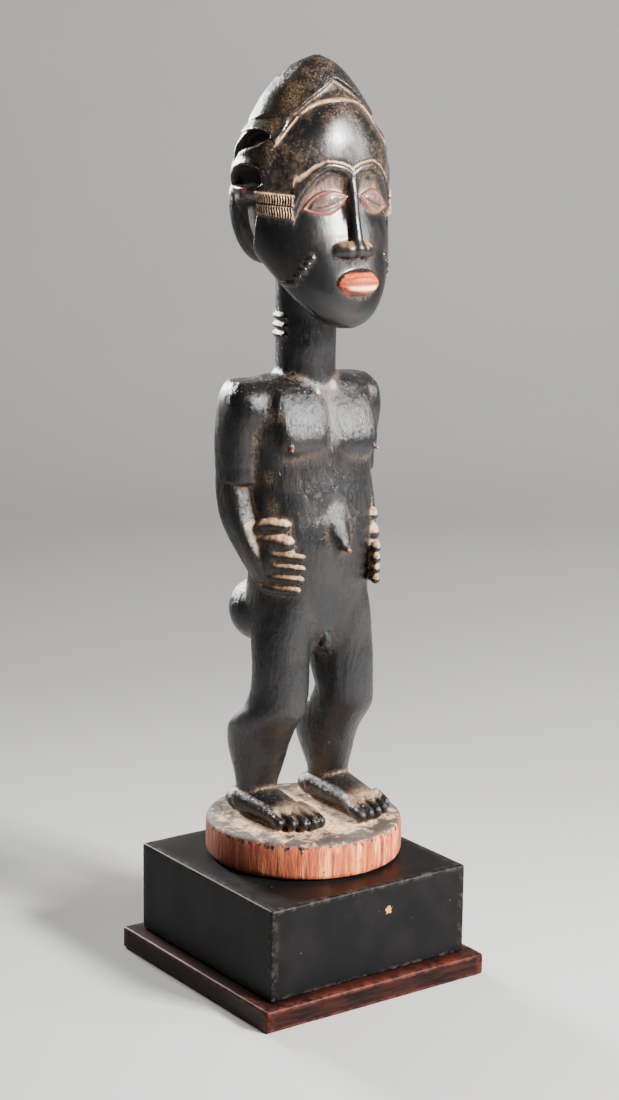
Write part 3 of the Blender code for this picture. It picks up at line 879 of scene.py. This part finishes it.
def tool_marks(mesh):
    """Upright blade marks all over the body, fainter on the face."""
    points, normals = read_skin(mesh)
    _, y, z = points.T
    on_base = soft_step(z, 1.0, 0.0)
    depth = MARK_DEPTH * (1 - 0.88 * on_face(y, z)) * (1 - on_base)
    marks = facets(points, MARK_SIZE, MARK_SEED)
    write_points(mesh, points - normals * (depth * (0.35 + marks))[:, None])


def write_mask(mesh, name, values):
    made = mesh.attributes.new(name, "FLOAT", "POINT")
    made.data.foreach_set("value", np.clip(values, 0, 1).astype(np.float32))


# Chips that show pale wood, and ochre dirt on the chest and arm: place and radius
CHIPS = ((6.5, -9.9, 233.0, 3.6), (-4.3, -11.7, 231.0, 2.0))
OCHRE_SPOTS = (
    (-32.1, -12.9, 220.0, 5.5),
    (-38.0, -5.4, 206.4, 4.0),
    (-32.8, -8.0, 187.6, 4.5),
    (-31.8, -10.4, 172.1, 5.5),
)

# Ochre on the crown: degrees from the front, height and radius
CROWN_SPOTS = ((62, 384, 14), (76, 367, 9))


def spots(points, places):
    """1 in the middle of each spot, 0 at its radius."""
    total = np.zeros(len(points))
    for *place, radius in places:
        distance = np.sqrt(((points - place) ** 2).sum(1))
        total = np.maximum(total, 1 - soft_step(distance, 0.35 * radius, radius))
    return total


def cream_paint(points, normals):
    """Where pale dust sticks: hairline, temple band, brow, nose wings, hands, toes and chips."""
    x, y, z = points.T
    out = np.abs(x)
    reach, turn, _ = head_place(points)
    up = soft_step(normals[:, 2], 0.1, 0.7)
    head = (reach > HEAD_CORE) * soft_step(z, 280, 284)
    hairline = head * (1 - soft_step(hairline_distance(turn, z), 0.2, 1.2))
    top = np.interp(turn, TEMPLE_TURNS, TEMPLE_HIGHS)
    lit = np.maximum(0.5 * (1 - temple_notches(turn, z)), soft_step(z, top - 1.3, top - 0.4))
    teeth = head * temple_band(turn, z) * lit
    in_front = (y < FACE_FRONT) * head
    brow = in_front * (out < SOCKET_END + 1) * window(below_brow(out, z), -4.5, -3.5, 0.4) * 0.8
    wings = in_front * window(z, 306.5, 312, 1.0) * window(out, 3.5, 9.5, 1.0) * up * 0.6
    side = (out > 20) * (y < 0)
    hands = side * window(z, 128, 168, 2) * soft_step(out + 0.5 * y, 6, 12) * up * 0.9
    toes = soft_step(-y, 10, 26) * soft_step(z, 8.6, 10.0) * window(z, 8.0, 14.0, 2.5) * up * 0.5
    return np.maximum.reduce([hairline, teeth, brow, wings, hands, toes, spots(points, CHIPS)])


def eye_masks(mesh, x, y, z):
    """The eyes, their rims, the painted shade in the slit and in the groove under the upper lid,
    and the lids above them.
    """
    face = (y < FACE_FRONT) * (np.abs(z - EYE_HEIGHT) < 20)
    along, depth = eye_shares(x, z)
    across = eye_place(x, z)[1]
    in_eye = face * soft_step(depth, -0.10, 0.02) * (np.abs(along) < 1.05)
    write_mask(mesh, "eye", in_eye)
    rim = 1 - soft_step(depth, 0.08, 0.24)
    write_mask(mesh, "eye_rim", in_eye * rim * (0.45 + 0.55 * (across < 0)))
    # Painted shade in the groove under the upper lid and in the slit between the lids.
    upper_line = (1 - soft_step(np.abs(depth + 0.06), 0.03, 0.10)) * (across > 0)
    dark = np.maximum(eye_slit(x, z), upper_line * (np.abs(along) < 1.0))
    write_mask(mesh, "eye_groove_shade", face * dark)
    out = np.abs(x)
    above_eye = soft_step(depth, -1.15, -0.15) * soft_step(across, -0.5, 1.5)
    above_eye = above_eye * (np.abs(along) < 1.1)
    lid = above_eye * soft_step(below_brow(out, z), 2.4, 6.0) * (out > 4.5)
    write_mask(mesh, "lid", face * lid * (1 - in_eye))


# Painted lips: depth, lowest and highest level, level of the painted highlight band on the lower
# lip and of the painted shade line between
LIPS_FRONT = -38.5
LIPS_LEVELS = (283.4, 294.0)
LIP_HIGHLIGHT_LEVELS = (285.6, 287.6)
LIP_LINE_LEVEL = 288.6


def lip_masks(mesh, x, y, z):
    aside = np.abs(x - MOUTH_SIDE)
    lips = (y < LIPS_FRONT) * window(z, *LIPS_LEVELS, 0.6) * (1 - soft_step(aside, 12.0, 13.0))
    write_mask(mesh, "lips", lips)
    # Painted highlight: a pale band along the lower lip.
    band = window(z, *LIP_HIGHLIGHT_LEVELS, 0.5) * (1 - soft_step(aside, 7.5, 9.5))
    write_mask(mesh, "lip_highlight", lips * band)
    # Painted shade: a dark line between the lips.
    write_mask(mesh, "lip_line", lips * np.exp(-(((z - LIP_LINE_LEVEL) / 0.5) ** 2)))


def wear_masks(mesh, points):
    """Rubbed tips, ochre dirt, and the hollows of the hair, where shade is painted near black."""
    x, y, z = points.T
    reach, turn, _ = head_place(points)
    height = np.where(x < 0, NIPPLE_HEIGHTS[-1], NIPPLE_HEIGHTS[1])
    off_nipple = np.hypot(np.abs(x) - NIPPLE_OUT, z - height) + (y > -20.5) * 9
    off_navel = np.hypot(x - 0.8, z - 149.4) + (y > -31) * 9
    nipples = 1 - soft_step(off_nipple, 0.6, 1.3)
    navel_tip = 1 - soft_step(off_navel, 1.0, 2.0)
    temple_end = head_spot(reach, turn, z, 88, 334.5, 2.4)
    write_mask(mesh, "worn_tip", np.maximum.reduce([nipples, navel_tip, temple_end]))
    high, low = (head_spot(reach, turn, z, *spot) for spot in CROWN_SPOTS)
    crown = np.maximum(high, low)
    write_mask(mesh, "ochre", np.maximum(spots(points, OCHRE_SPOTS), 0.85 * crown * (x < 0)))
    # The hair's hollows: painted shade in the colour, and a duller surface.
    deep = [pocket(turn, z, *edges) for _, *edges in HAIR_HOLLOWS]
    write_mask(mesh, "hollow", (reach > HEAD_CORE) * np.maximum.reduce(deep))


def base_masks(mesh, x, y, z, normals):
    """The round base's side, its top, the top's outer part and the side's upper edge."""
    write_mask(mesh, "base_side", (z < 0.3) * soft_step(-normals[:, 2], -0.75, -0.4))
    write_mask(mesh, "base_top", window(z, -1.5, 1.8, 0.6))
    rim_share = np.hypot(x + FIGURE_LEFT, y + FIGURE_BACK) / BASE_RADIUS
    write_mask(mesh, "base_rim", soft_step(rim_share, 0.62, 0.98))
    write_mask(mesh, "base_edge", soft_step(z, -5.5, -0.3) * (z < 1.0) * (rim_share > 0.9))


def paint_masks(mesh):
    """Marks where the wood is worn, where paint lies and where dirt has settled."""
    points, normals = read_skin(mesh)
    x, y, z = points.T
    write_mask(mesh, "facing_up", normals[:, 2])
    write_mask(mesh, "cream", cream_paint(points, normals))
    eye_masks(mesh, x, y, z)
    lip_masks(mesh, x, y, z)
    wear_masks(mesh, points)
    write_mask(mesh, "smooth", on_face(y, z))
    base_masks(mesh, x, y, z, normals)
    write_mask(mesh, "head", soft_step(z, 322, 346))


def head_spot(reach, turn, z, at_turn, at_height, radius):
    """1 on one spot of the head, given by its turn and height."""
    distance = np.hypot(along_head(turn - at_turn), z - at_height)
    return (reach > HEAD_CORE) * (1 - soft_step(distance, 0.4 * radius, radius))


WEAR_DEPTH = 0.25
WEAR_SIZE = (3.0, 3.0, 3.0)


def slab(name, side, height, bottom, edge, seed):
    """A square slab with worn edges."""
    size = Matrix.Diagonal((side, side, height, 1))
    form = bmesh.new()
    bmesh.ops.create_cube(form, size=1.0, matrix=size)
    bmesh.ops.bevel(
        form, geom=form.edges[:], offset=edge, segments=4, profile=0.5, affect="EDGES"
    )
    long_edges = [e for e in form.edges if e.calc_length() > height * 0.6]
    bmesh.ops.subdivide_edges(form, edges=long_edges, cuts=30, use_grid_fill=True)
    piece = link(name, form)
    points, normals = read_skin(piece.data)
    half = np.array([side, side, height]) / 2
    near = (half - np.abs(points) < edge * 1.2).sum(1) > 1
    wear = facets(points, WEAR_SIZE, seed)
    points = points - normals * (near * WEAR_DEPTH * np.clip(wear, 0, 1))[:, None]
    write_points(piece.data, points)
    write_mask(piece.data, "edge", near.astype(float))
    place = Matrix.Translation(Vector((0, 0, bottom + height / 2)) * MM) @ Matrix.Scale(MM, 4)
    piece.data.transform(place)
    piece.data.shade_smooth()
    return piece


class Paint:
    """A material built from nodes, with short words for the nodes it needs."""

    def __init__(self, name):
        self.material = bpy.data.materials.new(name)
        self.material.use_nodes = True
        self.tree = self.material.node_tree
        self.shader = self.tree.nodes["Principled BSDF"]
        self.place = self.node("ShaderNodeTexCoord").outputs["Object"]

    def node(self, kind, inputs=(), **settings):
        made = self.tree.nodes.new(kind)
        for key, value in settings.items():
            setattr(made, key, value)
        for key, value in dict(inputs).items():
            self.feed(made.inputs[key], value)
        return made

    def feed(self, socket, value):
        if isinstance(value, bpy.types.NodeSocket):
            self.tree.links.new(value, socket)
        elif value is not None:
            socket.default_value = value

    def math(self, operation, a, b=None, clamp=False):
        inputs = {0: a, 1: b}
        return self.node("ShaderNodeMath", inputs, operation=operation, use_clamp=clamp).outputs[0]

    def times(self, a, b):
        return self.math("MULTIPLY", a, b)

    def stretched(self, x, y, z):
        inputs = {"Vector": self.place, "Scale": (x, y, z)}
        return self.node("ShaderNodeMapping", inputs).outputs[0]

    def noise(self, size, detail=3.0, roughness=0.5, where=None):
        """Soft noise whose features are about size millimetres wide."""
        inputs = {"Vector": where or self.place, "Scale": 1000 / size}
        inputs.update({"Detail": detail, "Roughness": roughness})
        return self.node("ShaderNodeTexNoise", inputs).outputs["Fac"]

    def cells(self, size, where):
        inputs = {"Vector": where, "Scale": 1000 / size}
        return self.node("ShaderNodeTexVoronoi", inputs).outputs["Distance"]

    def mask(self, name):
        return self.node("ShaderNodeAttribute", attribute_name=name).outputs["Fac"]

    def ramp(self, value, start, end, low=0.0, high=1.0):
        inputs = {"Value": value, "From Min": start, "From Max": end, "To Min": low, "To Max": high}
        return self.node("ShaderNodeMapRange", inputs, interpolation_type="SMOOTHSTEP").outputs[0]

    def mix(self, share, a, b):
        inputs = {"Factor": share, 6: a, 7: b}
        return self.node("ShaderNodeMix", inputs, data_type="RGBA").outputs[2]

    def bump(self, height, strength, distance, before=None):
        inputs = {"Strength": strength, "Distance": distance, "Height": height, "Normal": before}
        return self.node("ShaderNodeBump", inputs).outputs[0]

    def finish(self, colour, roughness, normal):
        parts = (("Base Color", colour), ("Roughness", roughness), ("Normal", normal))
        for key, value in parts:
            self.feed(self.shader.inputs[key], value)
        return self.material


def rgb(red, green, blue):
    return (red, green, blue, 1.0)


BLACK = rgb(0.0050, 0.0051, 0.0056)
BROWN_BLACK = rgb(0.012, 0.0088, 0.0075)
HOLLOW_PAINTED_SHADE = rgb(0.0022, 0.0020, 0.0020)
DUST = rgb(0.25, 0.155, 0.092)
CREAM = rgb(0.70, 0.45, 0.265)
OCHRE = rgb(0.36, 0.225, 0.115)
WORN_RED = rgb(0.45, 0.085, 0.035)
LIP_RED = rgb(0.38, 0.036, 0.012)
LIP_ORANGE = rgb(0.58, 0.110, 0.032)
LIP_HIGHLIGHT = rgb(0.98, 0.66, 0.29)
LIP_LINE_SHADE = rgb(0.085, 0.014, 0.009)
EYE_PINK = rgb(0.095, 0.052, 0.047)
EYE_RIM_PINK = rgb(0.40, 0.115, 0.080)
EYE_GROOVE_SHADE = rgb(0.030, 0.010, 0.009)
LID_PINK = rgb(0.29, 0.165, 0.13)
RAW_WOOD = rgb(0.54, 0.098, 0.022)
RAW_WOOD_DARK = rgb(0.13, 0.027, 0.012)
RAW_WOOD_LIGHT = rgb(0.90, 0.37, 0.125)
BASE_GREY = rgb(0.055, 0.040, 0.031)


def patina(p, speck, patch):
    """Black patina with dirt in the hollows and on upward faces; gives its colour and its dust."""
    colour = p.mix(p.ramp(patch, 0.45, 0.7), BLACK, BROWN_BLACK)
    settled = p.times(p.mask("recess"), p.ramp(speck, 0.38, 0.6))
    basin = p.times(p.mask("basin"), p.ramp(p.noise(5, 4, 0.7), 0.45, 0.7))
    above = p.times(p.ramp(p.mask("facing_up"), 0.35, 0.95), p.ramp(speck, 0.60, 0.70))
    dust = p.math("ADD", p.times(settled, 0.6), p.times(basin, 0.12))
    dust = p.math("ADD", dust, p.times(above, 0.6), clamp=True)
    freckles = p.times(p.ramp(p.noise(1.3, 4, 0.8), 0.52, 0.66), p.ramp(patch, 0.40, 0.62))
    clouds = p.ramp(p.noise(6, 5, 0.7), 0.44, 0.8, 0.0, 0.22)
    mottling = p.math("ADD", p.times(freckles, 0.5), clouds)
    dust = p.math("ADD", dust, p.times(mottling, p.mask("head")), clamp=True)
    return p.mix(dust, colour, DUST), dust


def face_paint(p, colour, speck):
    """Pink lids and eyes and orange-red lips over the patina, with painted shade in the eye slits,
    under the upper lids and between the lips, and a pale painted highlight on the lower lip.
    """
    lid = p.times(p.mask("lid"), p.ramp(p.noise(7, 4, 0.6), 0.30, 0.62, 0.25, 0.95))
    colour = p.mix(lid, colour, LID_PINK)
    eye = p.mix(p.ramp(p.noise(3, 3, 0.6), 0.45, 0.80), EYE_PINK, LID_PINK)
    colour = p.mix(p.mask("eye"), colour, eye)
    colour = p.mix(p.mask("eye_rim"), colour, EYE_RIM_PINK)
    # Painted shade: dark lines in the eye slit and under the upper lid.
    colour = p.mix(p.times(p.mask("eye_groove_shade"), 0.9), colour, EYE_GROOVE_SHADE)
    lips = p.mix(p.ramp(speck, 0.35, 0.7), LIP_RED, LIP_ORANGE)
    colour = p.mix(p.times(p.mask("lips"), 0.95), colour, lips)
    # Painted highlight: a pale cream band along the lower lip.
    colour = p.mix(p.times(p.mask("lip_highlight"), 0.9), colour, LIP_HIGHLIGHT)
    # Painted shade: a dark line in the groove between the lips.
    return p.mix(p.times(p.mask("lip_line"), 0.85), colour, LIP_LINE_SHADE)


def bare_wood(p):
    """Red-orange wood of the base's side, with an upright grain and pale patches, and painted shade
    that darkens the side towards the figure's right (-x).
    """
    grain = p.noise(2.4, 5, 0.65, p.stretched(1.0, 1.0, 0.07))
    patches = p.noise(9, 3, 0.6, p.stretched(1.0, 1.0, 0.4))
    wood = p.mix(p.ramp(grain, 0.34, 0.56), RAW_WOOD_DARK, RAW_WOOD)
    pale = p.times(p.ramp(grain, 0.42, 0.66), p.ramp(patches, 0.42, 0.62))
    wood = p.mix(pale, wood, RAW_WOOD_LIGHT)
    # Painted shade: the wood darkens towards the figure's right, the side turned away from the key
    # light.
    across = p.node("ShaderNodeSeparateXYZ", {0: p.place}).outputs["X"]
    in_shade = p.ramp(across, -0.012, -0.040)
    return p.mix(p.times(in_shade, 0.72), wood, RAW_WOOD_DARK)


def base_paint(p, colour, speck):
    """Dusty top and bare side of the round base; gives the colour and where the wood is bare."""
    near_feet = p.mix(p.ramp(speck, 0.35, 0.65), DUST, CREAM)
    cloud = p.math("ADD", p.noise(8, 5, 0.7), p.times(p.mask("base_rim"), -0.16))
    ground = p.mix(p.ramp(cloud, 0.34, 0.50), BASE_GREY, near_feet)
    colour = p.mix(p.mask("base_top"), colour, ground)
    wood = bare_wood(p)
    ragged = p.math("SUBTRACT", p.noise(5, 5, 0.7), p.times(p.mask("base_edge"), 0.17))
    bare = p.times(p.mask("base_side"), p.ramp(ragged, 0.33, 0.37))
    return p.mix(bare, colour, wood), bare


# How rough each paint is at the least
BARE_ROUGHNESS = 0.8
DUSTY_ROUGHNESS = 0.7
PAINT_ROUGHNESS = 0.55


def skin_roughness(p, patch, dust, bare, cream):
    """Glossy patina, and duller dust, paint, hollows and bare wood."""
    gloss = p.ramp(patch, 0.3, 0.8, 0.23, 0.34)
    rough = p.math("ADD", gloss, p.times(dust, 0.4), clamp=True)
    for share, least in (
        (bare, BARE_ROUGHNESS),
        (p.mask("base_top"), DUSTY_ROUGHNESS),
        (p.mask("lips"), PAINT_ROUGHNESS),
        (cream, PAINT_ROUGHNESS),
        (p.mask("hollow"), DUSTY_ROUGHNESS),
    ):
        rough = p.math("MAXIMUM", rough, p.times(share, least))
    return rough


def carved_wood():
    """Glossy black patina over wood, with dirt in the hollows, worn tips and a bare base side;
    shade is painted into the hair's hollows, the eyes' grooves, the line between the lips and one
    side of the base, and a highlight onto the lower lip.
    """
    p = Paint("carved_wood_patina")
    upright = p.stretched(1.0, 1.0, 0.22)
    patch = p.noise(18, 4, 0.6)
    speck = p.noise(1.6, 3, 0.7)
    fibres = p.noise(1.4, 4, 0.75, upright)
    colour, dust = patina(p, speck, patch)
    # Painted shade: the hair's hollows are darkened to near black.
    colour = p.mix(p.times(p.mask("hollow"), 0.85), colour, HOLLOW_PAINTED_SHADE)
    colour = face_paint(p, colour, speck)
    cream = p.times(p.mask("cream"), p.ramp(p.noise(2.6, 4, 0.7), 0.30, 0.52))
    colour = p.mix(cream, colour, p.mix(p.ramp(patch, 0.35, 0.65), CREAM, DUST))
    ochre = p.times(p.mask("ochre"), p.ramp(p.noise(1.1, 5, 0.85), 0.42, 0.72))
    colour = p.mix(p.times(ochre, 0.85), colour, OCHRE)
    colour = p.mix(p.times(p.mask("worn_tip"), p.ramp(speck, 0.3, 0.5)), colour, WORN_RED)
    colour, bare = base_paint(p, colour, speck)
    rugged = p.math("SUBTRACT", 1.0, p.times(p.mask("smooth"), 0.85))
    normal = p.bump(p.times(p.cells(3.2, upright), rugged), 0.45, 0.0006)
    normal = p.bump(p.times(fibres, rugged), 1.0, 0.0006, normal)
    return p.finish(colour, skin_roughness(p, patch, dust, bare, cream), normal)


# How strongly the plinth's paint and stain mirror the studio
DULL_SHEEN = 0.11
BLOCK_BLACK = rgb(0.0028, 0.0028, 0.0030)
BLOCK_GREY = rgb(0.0056, 0.0052, 0.0052)
BLOCK_RUBBED = rgb(0.16, 0.13, 0.11)
BLOCK_SPECK = rgb(0.14, 0.11, 0.09)
BOARD_DARK = rgb(0.0045, 0.0018, 0.0016)
BOARD_RED = rgb(0.024, 0.0062, 0.0042)
BOARD_RUBBED = rgb(0.12, 0.026, 0.014)
CHIP_ORANGE = rgb(0.52, 0.20, 0.07)
CHIP_PLACE = (12.0, -62.5, 46.5)


def chip_spot(p):
    """1 on the one small chip in the front of the block."""
    inputs = {0: p.place, 1: [size * MM for size in CHIP_PLACE]}
    away = p.node("ShaderNodeVectorMath", inputs, operation="DISTANCE").outputs["Value"]
    ragged = p.math("ADD", away, p.times(p.noise(2.0), 0.005))
    return p.ramp(ragged, 0.0046, 0.0041)


def block_paint():
    """Black satin paint with rubbed edges and a few specks."""
    p = Paint("block_black_satin")
    cloud = p.noise(30, 4, 0.6)
    speck = p.noise(2.0, 2, 0.5)
    colour = p.mix(p.ramp(cloud, 0.4, 0.7), BLOCK_BLACK, BLOCK_GREY)
    rubbed = p.times(p.mask("edge"), p.ramp(p.noise(4, 4, 0.7), 0.45, 0.62))
    colour = p.mix(p.times(rubbed, 0.16), colour, BLOCK_RUBBED)
    colour = p.mix(p.ramp(speck, 0.76, 0.80), colour, BLOCK_SPECK)
    colour = p.mix(chip_spot(p), colour, CHIP_ORANGE)
    rough = p.ramp(cloud, 0.3, 0.7, 0.42, 0.52)
    p.shader.inputs["Specular IOR Level"].default_value = DULL_SHEEN
    normal = p.bump(p.noise(1.2, 3, 0.6), 0.08, 0.0003)
    return p.finish(colour, rough, normal)


def board_wood():
    """Dark red-brown stained wood with a long grain and worn edges."""
    p = Paint("board_red_brown")
    grain = p.noise(3.0, 5, 0.65, p.stretched(0.12, 0.12, 1.0))
    colour = p.mix(p.ramp(grain, 0.35, 0.65), BOARD_DARK, BOARD_RED)
    rubbed = p.times(p.mask("edge"), p.ramp(p.noise(5, 5, 0.7), 0.40, 0.60))
    colour = p.mix(p.times(rubbed, 0.5), colour, BOARD_RUBBED)
    p.shader.inputs["Specular IOR Level"].default_value = DULL_SHEEN
    normal = p.bump(grain, 0.25, 0.0004)
    return p.finish(colour, 0.42, normal)


FLOOR_PALE = rgb(0.39, 0.386, 0.382)
FLOOR_PALER = rgb(0.41, 0.406, 0.402)

# Floor and backdrop in metres: half width, where the curve starts, its radius and the top
FLOOR_HALF = 3.0
CURVE_START = 1.2
CURVE_RADIUS = 0.8
BACKDROP_TOP = 3.0
CURVE_STEPS = 12


def floor_surface():
    p = Paint("studio_floor")
    tone = p.ramp(p.noise(400, 2, 0.5), 0.3, 0.7)
    colour = p.mix(tone, FLOOR_PALE, FLOOR_PALER)
    return p.finish(colour, 0.8, None)


def make_floor():
    """A pale floor that curves up into a backdrop behind the figure."""
    form = bmesh.new()
    profile = [(-FLOOR_HALF, 0.0), (CURVE_START, 0.0)]
    for i in range(1, CURVE_STEPS + 1):
        a = math.pi / 2 * i / CURVE_STEPS
        y = CURVE_START + CURVE_RADIUS * math.sin(a)
        profile.append((y, CURVE_RADIUS * (1 - math.cos(a))))
    profile.append((CURVE_START + CURVE_RADIUS, BACKDROP_TOP))
    turn = Matrix.Rotation(CAMERA_TURN, 3, "Z")
    rows = []
    for side in (-FLOOR_HALF, FLOOR_HALF):
        rows.append([form.verts.new(turn @ Vector((side, y, z))) for y, z in profile])
    for i in range(len(profile) - 1):
        form.faces.new((rows[0][i], rows[1][i], rows[1][i + 1], rows[0][i + 1]))
    floor = link("studio_floor", form)
    floor.data.shade_smooth()
    floor.data.materials.append(floor_surface())


# Camera at the photograph's viewing angle
CAMERA_PLACE = (-0.682195, -0.960138, 0.486451)
CAMERA_RIGHT = (0.81530866, -0.57893009, 0.01057124)
CAMERA_UP = (0.1152192, 0.18010121, 0.9768767)
CAMERA_BACK = (-0.56744721, -0.79523802, 0.21354194)
CAMERA_TURN = math.radians(-35.5)
FOCAL_SHARE = 2300 / 1100
SENSOR = 36.0


def make_camera():
    data = bpy.data.cameras.new("photo_camera")
    camera = bpy.data.objects.new("photo_camera", data)
    bpy.context.scene.collection.objects.link(camera)
    data.sensor_fit = "VERTICAL"
    data.sensor_height = SENSOR
    data.lens = FOCAL_SHARE * SENSOR
    columns = (CAMERA_RIGHT, CAMERA_UP, CAMERA_BACK, CAMERA_PLACE)
    rows = [[column[k] for column in columns] for k in range(3)]
    camera.matrix_world = Matrix((*rows, (0, 0, 0, 1)))
    bpy.context.scene.camera = camera


# What the lamps shine at and how far off they hang, in metres
BODY_MIDDLE = (0.01, 0.0, 0.27)
BODY_UPPER = (0.01, 0.0, 0.30)
SOFTBOX_DISTANCE = 1.5
BEAM_DISTANCE = 1.3
STUDIO_TINT = rgb(0.9, 0.92, 0.95)
STUDIO_STRENGTH = 0.12


def hang(name, data, power, tint, direction, distance, target):
    """Places a lamp some way off from a target, shining at it."""
    data.energy = power
    data.color = tint
    lamp = bpy.data.objects.new(name, data)
    bpy.context.scene.collection.objects.link(lamp)
    away = Vector(direction).normalized()
    lamp.location = Vector(target) + away * distance
    lamp.rotation_euler = away.to_track_quat("Z", "Y").to_euler()


def softbox(name, direction, width, height, power, tint):
    data = bpy.data.lights.new(name, "AREA")
    data.shape = "RECTANGLE"
    data.size = width
    data.size_y = height
    hang(name, data, power, tint, direction, SOFTBOX_DISTANCE, BODY_MIDDLE)


def rim_beam(name, direction, radius, cone, power, tint):
    """A soft-edged beam from behind."""
    data = bpy.data.lights.new(name, "SPOT")
    data.shadow_soft_size = radius
    data.spot_size = math.radians(cone)
    data.spot_blend = 1.0
    hang(name, data, power, tint, direction, BEAM_DISTANCE, BODY_UPPER)


def make_lights():
    softbox("key_softbox", (0.30, -0.82, 0.46), 0.36, 0.25, 125, (1.0, 0.985, 0.96))
    softbox("front_strip", (0.72, -0.62, 0.30), 0.16, 0.6, 16, (1.0, 0.99, 0.98))
    rim_beam("back_rim", (-0.02, 1.0, 0.26), 0.16, 44, 260, (1.0, 0.99, 0.97))
    world = bpy.data.worlds.new("studio")
    bpy.context.scene.world = world
    world.use_nodes = True
    glow = world.node_tree.nodes["Background"]
    glow.inputs["Color"].default_value = STUDIO_TINT
    glow.inputs["Strength"].default_value = STUDIO_STRENGTH


def dress(piece, node, material):
    piece.data.materials.clear()
    piece.data.materials.append(material)
    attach(piece, "root")
    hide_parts(node)


def main():
    dress(make_figure(), "figure", carved_wood())
    block = slab("block_skin", BLOCK_SIDE, BLOCK_HEIGHT, BLOCK_BOTTOM, BLOCK_EDGE, seed=5.0)
    dress(block, "plinth_block", block_paint())
    board = slab("board_skin", BOARD_SIDE, BOARD_HEIGHT, 0.0, BOARD_EDGE, seed=9.0)
    dress(board, "plinth_board", board_wood())
    make_floor()
    make_camera()
    make_lights()


main()
